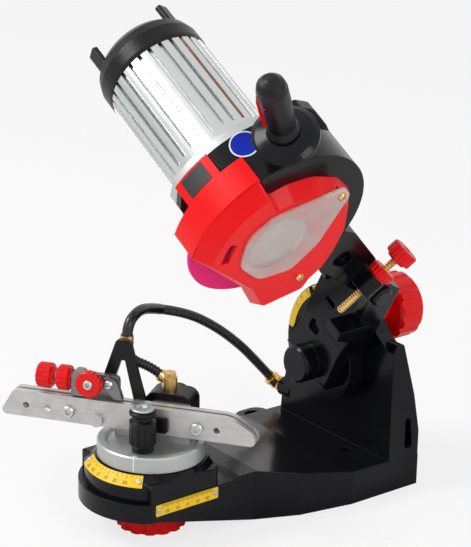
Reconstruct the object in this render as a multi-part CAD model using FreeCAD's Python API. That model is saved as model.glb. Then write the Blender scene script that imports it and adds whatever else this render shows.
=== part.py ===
import FreeCAD, Part
import os
from math import sin, cos, tan, pi, radians, sqrt, acos

V = FreeCAD.Vector
os.makedirs("parts", exist_ok=True)

# Electric bench chain sharpener: a motor driven grinding wheel swings down on
# an arm into a self-clamping chain vise. All sizes are millimetres.
# Machine frame: X to the operator's right, Y to the rear, Z up, with the vise
# swivel axis on X = Y = 0 and the bench top at Z = 0.

# Settings in which the machine stands
CHAIN_Z = 103.5
TILT_ANGLE = 30.0
SWIVEL_ANGLE = 35.0

# Bench bolts
BENCH_BOLT_LEFT_X = -92.0
BENCH_BOLT_RIGHT_X = 34.0
BENCH_BOLT_Y = 182.0
BENCH_BOLT_HOLE_R = 4.5

# Clearances: running fits, sliding faces, seated faces
RUN = 0.05
SLIDE_GAP = 0.3
SEAT_GAP = 0.1

# Base casting
BASE_WALL = 7.0
BASE_DECK_Z = 41.5
BASE_FLOOR_Z = 28.0
BASE_FRONT_R = 60.0
BASE_FRONT_HALF = 48.5
BASE_WAIST_HALF = 64.7
BASE_WAIST_Y = 106.0
BASE_HIP_HALF = 74.4
BASE_HIP_Y = 155.0
BASE_REAR_HALF = 75.5
BASE_REAR_Y = 228.0
BASE_TOE_Y = 69.0
BASE_TOE_SLOPE = 0.259
BASE_TOE_Z = 25.5
HUB_PAD_R = 21.0
HUB_PAD_Z = 19.0
HOSE_PORT_Y = 203.0
HOSE_PORT_Z = 47.0
HOSE_PORT_R = 4.0
SLIDE_SCALE_Z = 35.8
SLIDE_SCALE_HALF = 31.0
SLIDE_SCALE_HALF_H = 4.8
PLATE_THICK = 0.8

# Column at the rear of the base
WEB_FRONT_Y = 195.0
WEB_THICK = 15.0
WEB_HEAD_R = 62.5
WEB_LEFT_X = -57.5
FLANGE_X = 75.0
FLANGE_THICK = 13.0
FLANGE_TOP_Z = 134.0
PIVOT_BORE_R = 10.0
PIVOT_BOSS_LEN = 10.0
ARC_SLOT_R = 50.0
ARC_SLOT_HALF = 6.4
TILT_MIN = 0.0
TILT_MAX = 42.0
PUMP_X = -38.0
PUMP_R = 10.0

# Vise carriage and swivel
CARRIAGE_BLOCK_Z = 57.0
CARRIAGE_TOP_Z = 61.5
CARRIAGE_REAR_Y = 35.0
CARRIAGE_TRAVEL = 10.0
SWIVEL_BOSS_R = 55.0
SWIVEL_BOSS_Z = 53.5
SWIVEL_PAD_R = 46.0
SWIVEL_SCALE_START = -122.0
SWIVEL_SCALE_END = -44.0
KEY_HALF = 9.0
KEY_DEPTH = 4.0
DISC_R = 44.7
DISC_RIM_Z = 75.5
DISC_BORE_R = 6.0
STUD_R = 6.0
POST_U = 0.0
POST_V = -22.0
POST_R = 11.0
POST_TOP_Z = 107.5

# Chain vise: U along the rail, V across it
RAIL_LEFT = -131.0
RAIL_RIGHT = 92.0
RAIL_LOW_Z = 81.0
RAIL_THICK = 5.0
CHAIN_GAUGE_GAP = 3.0
JAW_BOLT_R = 3.0
GUIDE_U = (-69.0, 41.0)
GUIDE_Z = 91.0
JAW_HOLE_U = (-107.0, 57.0)
JAW_HOLE_R = 2.6
ROD_Z = 91.5
ROD_R = 4.0
PISTON_R = 8.0
CYL_U = 8.0
CYL_HALF = 20.0
CYL_FRONT_V = 17.0
CYL_LENGTH = 23.0
CYL_LOW_Z = 82.0
CYL_TOP_Z = 107.0
FITTING_U = 5.0
FITTING_V = 30.0
FITTING_EXIT = V(-0.76, -0.1, 0.64)
CLIP_U = -26.0
CLIP_Z = 150.5
CLIP_HALF = 4.0
BRACKET_THICK = 4.5

# Chain stop
STOP_Z = 117.0
STOP_V = 1.0
STOP_ROD_R = 3.0
PAWL_U = -36.0
PAWL_PIN_R = 2.5
CLAMP_U = -50.0
CLAMP_Z = 119.0

# Tilt cradle, upright before the tilt
CRADLE_BACK_Y = WEB_FRONT_Y - 1.2
CRADLE_FRONT_Y = 158.0
CRADLE_DISC_R = 40.0
CRADLE_DISC_THICK = 16.0
EAR_IN_RIGHT = 18.3
EAR_OUT_RIGHT = 28.0
EAR_IN_LEFT = -24.3
EAR_OUT_LEFT = -34.0
EAR_GAP = 0.6
STOP_PAD_UP = 75.0
HINGE_Y = 173.0
HINGE_UP = 110.0
HINGE_PIN_R = 6.0
HINGE_BARREL_R = 13.0
TILT_KNOB_Y = 223.0

# Grinding head, in its own upright frame before the tilt
WHEEL_R = 72.5
WHEEL_THICK = 4.7
WHEEL_BORE_R = 11.0
WHEEL_Y = 35.0
WHEEL_UP = 204.0
RIM_R = 77.0
RIM_WALL = 3.0
RIM_FRONT_X = 12.0
RIM_BACK_X = -33.0
RIM_STEP_X = -13.0
RIM_START = -38.0
RIM_END = 125.0
RIM_REAR_END = 139.0
RIM_LIP_R = 52.0
BACK_WALL = 6.0
MOTOR_FLANGE_R = 52.0
GUARD_R = 79.0
GUARD_WALL = 2.6
GUARD_END = 186.0
GUARD_REAR_END = 165.0
GUARD_FACE_X = 25.0
ARM_TOP = (124.4, 179.1)
ARM_ELBOW = (163.4, 141.2)
ARM_LOW = (103.3, 142.9)
HANDLE_ROOT_X = -10.5
HANDLE_ROOT_ANGLE = 98.0
HANDLE_AIM_ANGLE = 124.0
HANDLE_FLANGE_R = 26.0
HANDLE_NECK = 12.5
HANDLE_SPIGOT_R = 5.0
HANDLE_END = 79.7
TRIGGER_SIDE = V(-0.55, -0.723, -0.418)
TRIGGER_FROM = 24.0
TRIGGER_TO = 60.0
TRIGGER_PIN_R = 1.5
DEPTH_X = 24.5
DEPTH_TIP = (136.0, 98.0)
DEPTH_WAY = (0.581, 0.814)
DEPTH_SCREW_R = 3.5
SHAFT_R = 6.0

# Front cover outline on the rim's face, as (y, up, corner radius)
COVER_EDGE = [(-11.0, 268.0, 2.0), (3.6, 250.0, 5.0), (19.0, 257.5, 10.0), (42.0, 260.6, 30.0),
              (70.0, 253.6, 24.0), (90.5, 236.0, 22.0), (100.2, 206.0, 40.0), (100.0, 176.0, 40.0),
              (95.8, 157.5, 14.0), (86.6, 144.5, 6.0), (83.7, 132.8, 6.0), (43.6, 120.4, 5.0),
              (21.3, 148.0, 8.0), (-43.6, 195.0, 4.0), (-44.0, 220.0, 60.0), (-32.0, 247.0, 60.0)]
COVER_CENTRE = (28.0, 205.0)
COVER_FACE_SCALE = 0.86
COVER_WALL = 2.4
LENS_CENTRE = (22.0, 209.0)
LENS_HOLE_R = 24.5
LENS_DOME_R = 26.0
LENS_THICK = 1.8
LENS_SCREWS = ((66.1, 248.5), (65.6, 159.4))
LENS_EDGE = [(-11.0, 222.0, 20.0), (-6.0, 190.0, 16.0), (20.0, 170.0, 16.0), (50.0, 173.0, 14.0),
             (66.0, 197.0, 20.0), (75.0, 247.0, 8.0), (66.0, 257.5, 7.0), (6.0, 240.0, 20.0)]

# Motor
MOTOR_R = 44.4
MOTOR_CORE_R = 37.5
MOTOR_BORE_R = 33.9
FIN_COUNT = 30
FIN_FRONT_X = -67.0
FIN_REAR_X = -162.0
COLLAR_R = 45.0
COLLAR_FRONT_X = -59.5
FRONT_PLATE = 9.0
CAP_R = 45.0
CAP_REAR_X = -191.0
CORE_FRONT_X = -98.0
CORE_REAR_X = -146.0
COIL_REACH = 11.0
BEARING_R = 16.0
BEARING_LEN = 8.0
FOOT_ANGLES = (65.0, 187.0, 306.0)
GLAND_X = -50.6
GLAND_R = 6.0

# Hydraulic hose
HOSE_R = 4.2
HOSE_BORE_R = 2.2
HOSE_GROOVE_R = 3.5
HOSE_PITCH = 4.6
SLEEVE_R = 4.5
HOSE_START = V(-85.0, 192.6, 56.5)
HOSE_EXIT = V(-0.15, -0.64, 0.76)
SLEEVE_START = V(-50.0, 46.0, 161.0)

# Knobs
BIG_KNOB_R = 28.5
BIG_KNOB_H = 28.0
SMALL_KNOB_R = 10.5
DEPTH_KNOB_R = 12.0


# Frames and placing

ROW_SHIFT = V(-(BENCH_BOLT_LEFT_X + BENCH_BOLT_RIGHT_X) / 2, -BENCH_BOLT_Y, 0)
TILT_POINT = V(0, 0, CHAIN_Z)


def tilted(shape):
    """Turns a head or cradle shape about the tilt axis into its set angle."""
    turned = shape.copy()
    turned.rotate(TILT_POINT, V(0, 1, 0), TILT_ANGLE)
    return turned


def swivelled(shape):
    """Turns a vise shape about the swivel axis into its set angle."""
    turned = shape.copy()
    turned.rotate(V(0, 0, 0), V(0, 0, 1), SWIVEL_ANGLE)
    return turned


def write(name, shape):
    """Moves a piece from the machine frame to the bolt frame and exports it."""
    placed = shape.copy()
    placed.translate(ROW_SHIFT)
    if not placed.isValid():
        print("INVALID", name)
    placed.exportStep("parts/" + name + ".step")
    box = placed.BoundBox
    print("%-22s solids %d vol %9.0f  x %.1f..%.1f y %.1f..%.1f z %.1f..%.1f" % (
        name, len(placed.Solids), placed.Volume,
        box.XMin, box.XMax, box.YMin, box.YMax, box.ZMin, box.ZMax))


def aim(shape, point, direction):
    """Puts a shape made about +Z onto a point with its axis along a direction."""
    placed = shape.copy()
    turn = FreeCAD.Rotation(V(0, 0, 1), V(direction))
    placed.Placement = FreeCAD.Placement(V(point), turn).multiply(placed.Placement)
    return placed


def rod(radius, length, point, direction):
    return Part.makeCylinder(radius, length, V(point), V(direction))


def ring(outer, inner, length, point, direction):
    return rod(outer, length, point, direction).cut(rod(inner, length, point, direction))


def box(x0, x1, y0, y1, z0, z1):
    return Part.makeBox(x1 - x0, y1 - y0, z1 - z0, V(x0, y0, z0))


def joined(first, others):
    """Fuses shapes into one solid and merges faces that lie in one surface."""
    return first.fuse(others).removeSplitter()


def spun(profile):
    """Revolves (radius, height) points about Z."""
    points = [V(r, 0, h) for r, h in profile]
    points.append(points[0])
    return Part.Face(Part.makePolygon(points)).revolve(V(0, 0, 0), V(0, 0, 1), 360)


def rounded_wire(corners):
    """Closed XY wire through (x, y, radius) corners, each rounded by its radius."""
    count = len(corners)
    starts = []
    ends = []
    mids = []
    for i in range(count):
        x, y, radius = corners[i]
        here = V(x, y, 0)
        back = V(corners[i - 1][0], corners[i - 1][1], 0).sub(here)
        ahead = V(corners[(i + 1) % count][0], corners[(i + 1) % count][1], 0).sub(here)
        back.normalize()
        ahead.normalize()
        half = acos(max(-1.0, min(1.0, back.dot(ahead)))) / 2
        if radius <= 0 or half > pi / 2 - 0.01:
            starts.append(here)
            ends.append(here)
            mids.append(None)
            continue
        reach = radius / tan(half)
        bisector = back.add(ahead)
        bisector.normalize()
        centre = here.add(bisector * (radius / sin(half)))
        starts.append(here.add(back * reach))
        ends.append(here.add(ahead * reach))
        mids.append(centre.sub(bisector * radius))
    edges = []
    for i in range(count):
        if mids[i] is not None:
            edges.append(Part.Arc(starts[i], mids[i], ends[i]).toShape())
        following = starts[(i + 1) % count]
        if ends[i].sub(following).Length > 1e-6:
            edges.append(Part.LineSegment(ends[i], following).toShape())
    return Part.Wire(edges)


def inset(corners, wall):
    """Moves every side of a clockwise (x, y, radius) outline inwards by a wall."""
    count = len(corners)
    sides = []
    for i in range(count):
        here = V(corners[i][0], corners[i][1], 0)
        way = V(corners[(i + 1) % count][0], corners[(i + 1) % count][1], 0).sub(here)
        way.normalize()
        sides.append((here.add(V(way.y, -way.x, 0) * wall), way))
    moved = []
    for i in range(count):
        start, way = sides[i - 1]
        other, turn = sides[i]
        bend = way.x * turn.y - way.y * turn.x
        gap = other.sub(start)
        reach = (gap.x * turn.y - gap.y * turn.x) / bend
        radius = corners[i][2] - wall if bend < 0 else corners[i][2] + wall
        moved.append((start.x + way.x * reach, start.y + way.y * reach, max(0.5, radius)))
    return moved


def slab(corners, low, high):
    """Rounded outline in XY, raised from low to high."""
    face = Part.Face(rounded_wire(corners))
    solid = face.extrude(V(0, 0, high - low))
    solid.translate(V(0, 0, low))
    return solid


def side_slab(corners, x0, x1):
    """Rounded outline given as (y, z, radius), extruded along X."""
    solid = slab(corners, 0, x1 - x0)
    turn = FreeCAD.Rotation(V(0, 1, 0), V(0, 0, 1), V(1, 0, 0), "ZXY")
    solid.Placement = FreeCAD.Placement(V(x0, 0, 0), turn)
    return solid


def front_slab(corners, y0, y1):
    """Rounded outline given as (x, z, radius), extruded along Y."""
    solid = slab(corners, 0, y1 - y0)
    turn = FreeCAD.Rotation(V(1, 0, 0), V(0, 0, 1), V(0, -1, 0), "ZXY")
    solid.Placement = FreeCAD.Placement(V(0, y1, 0), turn)
    return solid


def arc_band(outer, inner, start_deg, end_deg, length):
    """Part of a tube about Z between two angles measured from X."""
    sweep = end_deg - start_deg
    points = [V(inner, 0, 0), V(outer, 0, 0), V(outer, 0, length), V(inner, 0, length), V(inner, 0, 0)]
    band = Part.Face(Part.makePolygon(points)).revolve(V(0, 0, 0), V(0, 0, 1), sweep)
    band.rotate(V(0, 0, 0), V(0, 0, 1), start_deg)
    return band


def head_band(outer, inner, start_deg, end_deg, x0, x1):
    """Band about the wheel axis; angles run from the rear (+Y) up to +Z."""
    band = arc_band(outer, inner, start_deg, end_deg, x1 - x0)
    turn = FreeCAD.Rotation(V(0, 1, 0), V(0, 0, 1), V(1, 0, 0), "ZXY")
    band.Placement = FreeCAD.Placement(V(x0, WHEEL_Y, CHAIN_Z + WHEEL_UP), turn).multiply(band.Placement)
    return band


def head_point(x, y, up):
    return V(x, y, CHAIN_Z + up)


def fluted_knob(radius, height, flutes, flute_r, bore):
    """Moulded hand knob about Z: fluted grip, dished ends and a centre bore."""
    profile = [(bore, 0.0), (radius * 0.45, 0.0), (radius * 0.86, 1.5), (radius, 4.0),
               (radius, height - 4.0), (radius * 0.9, height - 1.0), (radius * 0.5, height),
               (radius * 0.42, height - 2.0), (bore, height - 2.0)]
    knob = spun(profile)
    cutters = []
    for i in range(flutes):
        angle = 2 * pi * i / flutes
        reach = radius + flute_r * 0.55
        cutters.append(rod(flute_r, height + 2, V(reach * cos(angle), reach * sin(angle), -1),
                           V(0, 0, 1)))
    return knob.cut(cutters)


def pan_screw(head_r, head_h, shank_r, shank_l):
    """Slotted screw about Z, seated at Z = 0 with its shank below."""
    head = spun([(0, 0), (head_r, 0), (head_r, head_h * 0.5), (head_r * 0.7, head_h), (0, head_h)])
    slot = box(-head_r, head_r, -head_r * 0.14, head_r * 0.14, head_h * 0.55, head_h + 1)
    return joined(head, [rod(shank_r, shank_l, V(0, 0, -shank_l), V(0, 0, 1))]).cut(slot)


def hexagon(across, low, high):
    radius = across / sqrt(3)
    return slab([(radius * cos(pi * i / 3), radius * sin(pi * i / 3), 0) for i in range(6)], low, high)


def socket_screw(head_r, head_h, shank_r, shank_l):
    """Hexagon socket screw about Z, seated at Z = 0 with its shank below."""
    head = spun([(0, 0), (head_r, 0), (head_r, head_h - 0.6), (head_r - 0.6, head_h), (0, head_h)])
    solid = joined(head, [rod(shank_r, shank_l, V(0, 0, -shank_l), V(0, 0, 1))])
    return solid.cut(hexagon(head_r * 0.95, head_h * 0.4, head_h + 1))


def grouped(shapes):
    return Part.makeCompound(shapes)


# Base casting with column

def base_outline(inset):
    """Plan corners of the base: round toe, straight cheeks, splayed heel."""
    half = BASE_FRONT_HALF - inset
    front = BASE_FRONT_R - inset
    corner_y = -sqrt(front * front - half * half)
    rear = BASE_REAR_Y - inset
    waist = BASE_WAIST_HALF - inset
    hip = BASE_HIP_HALF - inset
    heel = BASE_REAR_HALF - inset
    edges = [
        Part.Arc(V(-half, corner_y, 0), V(0, -front, 0), V(half, corner_y, 0)).toShape(),
    ]
    chain = [(half, corner_y), (half, BASE_TOE_Y), (waist, BASE_WAIST_Y), (hip, BASE_HIP_Y), (heel, rear),
             (-heel, rear), (-hip, BASE_HIP_Y), (-waist, BASE_WAIST_Y), (-half, BASE_TOE_Y),
             (-half, corner_y)]
    for a, b in zip(chain[:-1], chain[1:]):
        edges.append(Part.LineSegment(V(a[0], a[1], 0), V(b[0], b[1], 0)).toShape())
    return Part.Face(Part.Wire(edges))


def base_casting():
    """Hollow base with its sloping toe, cast in one with the tilt column."""
    shell = base_outline(0).extrude(V(0, 0, 60))
    toe = -BASE_FRONT_R - 2
    slope_y = BASE_TOE_Y - BASE_TOE_Z / BASE_TOE_SLOPE
    deck_end = CARRIAGE_REAR_Y + CARRIAGE_TRAVEL + 2
    profile = [(toe, BASE_TOE_Z, 0), (toe, BASE_DECK_Z, 0), (deck_end, BASE_DECK_Z, 0),
               (deck_end + 7, BASE_DECK_Z + 2, 3), (deck_end + 25, BASE_DECK_Z + 2, 6),
               (BASE_HIP_Y, BASE_FLOOR_Z + 1.5, 20), (BASE_REAR_Y + 2, BASE_FLOOR_Z, 0),
               (BASE_REAR_Y + 2, 0, 0),
               (BASE_TOE_Y, 0, 0), (slope_y, BASE_TOE_Z, 0)]
    body = shell.common(side_slab(profile, -90, 90))
    hollow = base_outline(BASE_WALL).extrude(V(0, 0, 60))
    hollow.translate(V(0, 0, -10))
    deck_under = BASE_DECK_Z - BASE_WALL - 1
    inner = [(toe, -12, 0), (toe, deck_under, 0), (deck_end + 7, deck_under, 0),
             (deck_end + 25, deck_under + 1, 0),
             (BASE_HIP_Y, BASE_FLOOR_Z - 7.5, 0), (BASE_REAR_Y, BASE_FLOOR_Z - 9, 0),
             (BASE_REAR_Y, -12, 0)]
    body = body.cut(hollow.common(side_slab(inner, -90, 90)))

    web_back = WEB_FRONT_Y + WEB_THICK
    web_corners = [(-68, 20, 0), (-68, 46, 0), (-62.5, 74, 0), (WEB_LEFT_X - 1, 96, 20),
                   (WEB_LEFT_X, CHAIN_Z, 0),
                   (60, CHAIN_Z, 0), (68, 20, 0)]
    web = front_slab(web_corners, WEB_FRONT_Y, web_back)
    head = rod(WEB_HEAD_R, WEB_THICK, V(0, WEB_FRONT_Y, CHAIN_Z), V(0, 1, 0))
    flange_profile = [(WEB_FRONT_Y, 8, 0), (WEB_FRONT_Y, 126, 3), (199, FLANGE_TOP_Z, 4),
                      (206, FLANGE_TOP_Z, 5),
                      (212, 114, 30), (221, 84, 30), (BASE_REAR_Y, 50, 20), (BASE_REAR_Y, 8, 0)]
    right = side_slab(flange_profile, FLANGE_X - FLANGE_THICK, FLANGE_X)
    left_profile = [(WEB_FRONT_Y, 8, 0), (WEB_FRONT_Y, 84, 0), (211, 96, 6), (219, 74, 20),
                    (BASE_REAR_Y - 2, 46, 20), (BASE_REAR_Y - 2, 8, 0)]
    left_slant = front_slab([(-72, 8, 0), (-68.5, 46, 0), (-62.7, 74, 0), (WEB_LEFT_X - 1, 98, 0),
                             (-50, 98, 0),
                             (-54, 74, 0), (-59, 46, 0), (-62, 8, 0)], WEB_FRONT_Y, BASE_REAR_Y)
    left = side_slab(left_profile, -76, -50).common(left_slant)
    bridge = front_slab([(40, 60, 0), (FLANGE_X - 5, 60, 0), (FLANGE_X - 5, 124, 4), (52, 138, 8),
                         (40, 138, 0)],
                        WEB_FRONT_Y, web_back)
    pivot_boss = rod(21, PIVOT_BOSS_LEN, V(0, web_back, CHAIN_Z), V(0, 1, 0))
    ribs = []
    for x in (-22, 22):
        ribs.append(side_slab([(WEB_FRONT_Y + 5, 24, 0), (WEB_FRONT_Y + 5, 88, 0), (215, 84, 6),
                               (224, 24, 0)],
                              x - 3, x + 3))
    lug = slab([(-BASE_REAR_HALF + 10, BENCH_BOLT_Y - 19, 0),
                (BENCH_BOLT_LEFT_X - 14, BENCH_BOLT_Y - 15, 12),
                (BENCH_BOLT_LEFT_X - 14, BENCH_BOLT_Y + 15, 12),
                (-BASE_REAR_HALF + 10, BENCH_BOLT_Y + 22, 0)], 0, 18)
    hub_pad = rod(HUB_PAD_R, BASE_DECK_Z - HUB_PAD_Z, V(0, 0, HUB_PAD_Z), V(0, 0, 1))
    bolt_boss = rod(11, BASE_FLOOR_Z - 4, V(BENCH_BOLT_RIGHT_X, BENCH_BOLT_Y, 0), V(0, 0, 1))
    hose_boss = rod(9, 16, V(-75, HOSE_PORT_Y, HOSE_PORT_Z), V(1, 0, 0))
    body = joined(body, [web, head, right, left, bridge, pivot_boss, lug, hub_pad, bolt_boss,
                         hose_boss] + ribs)

    cuts = [
        rod(PIVOT_BORE_R + RUN, 60, V(0, 180, CHAIN_Z), V(0, 1, 0)),
        rod(BENCH_BOLT_HOLE_R, 40, V(BENCH_BOLT_LEFT_X, BENCH_BOLT_Y, -2), V(0, 0, 1)),
        rod(2 * BENCH_BOLT_HOLE_R, 10, V(BENCH_BOLT_LEFT_X, BENCH_BOLT_Y, 15), V(0, 0, 1)),
        rod(BENCH_BOLT_HOLE_R, 60, V(BENCH_BOLT_RIGHT_X, BENCH_BOLT_Y, -2), V(0, 0, 1)),
        rod(HOSE_PORT_R, 40, V(-90, HOSE_PORT_Y, HOSE_PORT_Z), V(1, 0, 0)),
    ]
    slot = arc_band(ARC_SLOT_R + ARC_SLOT_HALF, ARC_SLOT_R - ARC_SLOT_HALF, 90 - TILT_MAX,
                    90 - TILT_MIN, 40)
    ends = []
    for tilt in (TILT_MIN, TILT_MAX):
        angle = radians(90 - tilt)
        ends.append(rod(ARC_SLOT_HALF, 40, V(ARC_SLOT_R * cos(angle), ARC_SLOT_R * sin(angle), 0),
                        V(0, 0, 1)))
    slot = slot.fuse(ends)
    turn = FreeCAD.Rotation(V(1, 0, 0), V(0, 0, 1), V(0, -1, 0), "ZXY")
    slot.Placement = FreeCAD.Placement(V(0, 222, CHAIN_Z), turn)
    cuts.append(slot)
    key_front, key_rear = key_ends()
    cuts.append(box(-KEY_HALF, KEY_HALF, key_front - CARRIAGE_TRAVEL - SLIDE_GAP,
                    key_rear + CARRIAGE_TRAVEL + SLIDE_GAP,
                    BASE_DECK_Z - KEY_DEPTH, BASE_DECK_Z + 5))
    side = STUD_R + 0.5
    reach = CARRIAGE_TRAVEL + side
    cuts.append(slab([(-side, -reach, STUD_R), (side, -reach, STUD_R), (side, reach, STUD_R),
                      (-side, reach, STUD_R)],
                     10, 60))
    window = side_slab([(web_back + 2, 36, 2), (web_back + 2, 66, 2), (218, 62, 2), (221, 36, 2)],
                       FLANGE_X - FLANGE_THICK - 1, FLANGE_X + 1)
    cuts.append(window)
    return body.cut(cuts)


def slide_scale():
    """Yellow reading plate on the base's right cheek."""
    low = SLIDE_SCALE_Z - SLIDE_SCALE_HALF_H
    high = SLIDE_SCALE_Z + SLIDE_SCALE_HALF_H
    return side_slab([(-SLIDE_SCALE_HALF, low, 1), (SLIDE_SCALE_HALF, low, 1),
                      (SLIDE_SCALE_HALF, high, 1),
                      (-SLIDE_SCALE_HALF, high, 1)], BASE_FRONT_HALF, BASE_FRONT_HALF + PLATE_THICK)


def tilt_scale():
    """Crescent angle plate on the column's front face."""
    band = arc_band(WEB_HEAD_R - 1, WEB_HEAD_R - 8, 98, 172, PLATE_THICK)
    turn = FreeCAD.Rotation(V(1, 0, 0), V(0, 0, 1), V(0, -1, 0), "ZXY")
    band.Placement = FreeCAD.Placement(V(0, WEB_FRONT_Y, CHAIN_Z), turn).multiply(band.Placement)
    return band


def master_cylinder():
    """Hydraulic pump barrel standing behind the column plate."""
    barrel = spun([(0, 0), (PUMP_R - 1, 0), (PUMP_R, 1), (PUMP_R, 44), (8, 47), (4, 47), (4, 52),
                   (0, 52)])
    barrel.translate(V(PUMP_X, WEB_FRONT_Y + WEB_THICK + PUMP_R, BASE_FLOOR_Z + 0.5))
    return barrel


def base_fitting():
    """Brass elbow screwed into the side of the column, pointing up the hose."""
    shank = rod(HOSE_PORT_R - RUN, 14, V(-86, HOSE_PORT_Y, HOSE_PORT_Z), V(1, 0, 0))
    seat = ring(7.2, 3.5, 3, V(-78, HOSE_PORT_Y, HOSE_PORT_Z), V(1, 0, 0))
    block = aim(hexagon(13, 0, 8), V(-86, HOSE_PORT_Y, HOSE_PORT_Z), V(1, 0, 0))
    exit_dir = V(HOSE_EXIT)
    exit_dir.normalize()
    root = HOSE_START.sub(exit_dir * 13)
    barrel = rod(5.0, 13, root, exit_dir)
    collar = aim(hexagon(12, 5, 10), root, exit_dir)
    return joined(shank, [seat, block, barrel, collar])


# Vise carriage: slides in and out on the deck, locked by the knob below

def carriage_front():
    """Where the round toe of the base meets its straight cheeks."""
    return -sqrt(BASE_FRONT_R ** 2 - BASE_FRONT_HALF ** 2)


def key_ends():
    """Front and rear of the guide key under the carriage."""
    return carriage_front() + 2, CARRIAGE_REAR_Y - 4


def vise_carriage():
    """Sliding block with the coned swivel boss that carries the degree strip."""
    low = BASE_DECK_Z + SEAT_GAP
    half = BASE_FRONT_HALF
    block = slab([(-half, carriage_front(), 0), (half, carriage_front(), 0), (half, CARRIAGE_REAR_Y, 8),
                  (-half, CARRIAGE_REAR_Y, 8)], low, CARRIAGE_BLOCK_Z)
    rim = [e for e in block.Edges if e.BoundBox.ZMin > CARRIAGE_BLOCK_Z - 0.01]
    block = block.makeChamfer(1.2, rim)
    boss = spun([(0, low), (SWIVEL_BOSS_R, low), (SWIVEL_BOSS_R, SWIVEL_BOSS_Z),
                 (SWIVEL_PAD_R, CARRIAGE_TOP_Z),
                 (0, CARRIAGE_TOP_Z)])
    boss = boss.common(box(-half, half, -2 * SWIVEL_BOSS_R, CARRIAGE_REAR_Y, 0, 2 * CARRIAGE_TOP_Z))
    key_front, key_rear = key_ends()
    key = box(-KEY_HALF + SEAT_GAP, KEY_HALF - SEAT_GAP, key_front, key_rear,
              BASE_DECK_Z - KEY_DEPTH + SLIDE_GAP, low + 1)
    block = joined(block, [boss, key])
    relief = ring(36, 22, 8, V(0, 0, low - 1), V(0, 0, 1)).cut(box(-KEY_HALF - 4, KEY_HALF + 4, -60, 60,
                                                                   0, 90))
    return block.cut([rod(STUD_R + RUN, 60, V(0, 0, 20), V(0, 0, 1)), relief])


def swivel_scale():
    """Coned degree strip on the front of the swivel boss."""
    run = SWIVEL_BOSS_R - SWIVEL_PAD_R
    fall = CARRIAGE_TOP_Z - SWIVEL_BOSS_Z
    length = sqrt(run * run + fall * fall)
    out = V(fall / length, 0, run / length) * PLATE_THICK
    top = V(SWIVEL_PAD_R + 0.05 * run, 0, CARRIAGE_TOP_Z - 0.05 * fall)
    foot = V(SWIVEL_BOSS_R - 0.05 * run, 0, SWIVEL_BOSS_Z + 0.05 * fall)
    strip = Part.Face(Part.makePolygon([top, foot, foot.add(out), top.add(out), top]))
    band = strip.revolve(V(0, 0, 0), V(0, 0, 1), SWIVEL_SCALE_END - SWIVEL_SCALE_START)
    band.rotate(V(0, 0, 0), V(0, 0, 1), SWIVEL_SCALE_START)
    return band


def bottom_knob():
    """Big fluted knob below the deck that clamps carriage and turntable."""
    knob = fluted_knob(BIG_KNOB_R, BIG_KNOB_H, 14, 4.2, STUD_R + RUN)
    collar = ring(16, STUD_R + RUN, 3, V(0, 0, BIG_KNOB_H - 2.5), V(0, 0, 1))
    knob = joined(knob, [collar])
    knob.translate(V(0, 0, HUB_PAD_Z - SEAT_GAP - BIG_KNOB_H - 0.5))
    return knob


# Turntable and chain vise; rail along X before the swivel, Y behind it

def vise_disc():
    """Turned aluminium turntable disc with the rail's pad and an index notch."""
    low = CARRIAGE_TOP_Z + SEAT_GAP
    disc = spun([(DISC_BORE_R + 2, low), (DISC_R - 0.8, low), (DISC_R, low + 0.8),
                 (DISC_R, DISC_RIM_Z - 1.2),
                 (DISC_R - 1.2, DISC_RIM_Z), (DISC_R - 6, DISC_RIM_Z), (DISC_R - 9, DISC_RIM_Z - 3),
                 (DISC_BORE_R + 2, DISC_RIM_Z - 3)])
    hub = ring(DISC_BORE_R + 3, STUD_R, DISC_RIM_Z - 3 - low, V(0, 0, low), V(0, 0, 1))
    rail_face = CHAIN_GAUGE_GAP / 2
    pad = slab([(-33, rail_face, 3), (33, rail_face, 3), (33, 25, 6), (-33, 25, 6)], DISC_RIM_Z - 4,
               DISC_RIM_Z + 1)
    mark = slab([(-2.4, -DISC_R + 2.2, 0), (2.4, -DISC_R + 2.2, 0), (0.8, -DISC_R + 7, 0),
                 (-0.8, -DISC_R + 7, 0)],
                DISC_RIM_Z - 4, DISC_RIM_Z + 0.6)
    disc = joined(disc, [hub, pad, mark])
    return disc.cut([rod(STUD_R, 80, V(0, 0, 0), V(0, 0, 1)),
                     rod(4.0, 20, V(POST_U, POST_V, 60), V(0, 0, 1))])


def swivel_stud():
    """Through stud on the swivel axis; the bottom knob runs on its lower end."""
    return spun([(0, -6), (STUD_R - 0.8, -6), (STUD_R, -5.2), (STUD_R, DISC_RIM_Z - 4.5),
                 (0, DISC_RIM_Z - 4.5)])


def jaw_post():
    """Knurled black adjusting post standing in front of the rail."""
    low = DISC_RIM_Z - 3
    post = spun([(0, low), (9, low), (9, low + 4), (POST_R - 1, low + 5), (POST_R, low + 7),
                 (POST_R, POST_TOP_Z - 9),
                 (8.2, POST_TOP_Z - 7), (8.2, POST_TOP_Z - 5), (POST_R, POST_TOP_Z - 3),
                 (POST_R, POST_TOP_Z - 1),
                 (POST_R - 1, POST_TOP_Z), (7, POST_TOP_Z), (6, POST_TOP_Z + 1), (0, POST_TOP_Z + 1)])
    grooves = []
    for i in range(12):
        angle = 2 * pi * i / 12
        grooves.append(rod(1.3, 14, V((POST_R + 0.4) * cos(angle), (POST_R + 0.4) * sin(angle),
                                      low + 7), V(0, 0, 1)))
    post = post.cut(grooves)
    post = post.fuse(rod(4.0, 8, V(0, 0, low - 8), V(0, 0, 1))).removeSplitter()
    post.translate(V(POST_U, POST_V, 0))
    return post


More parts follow.
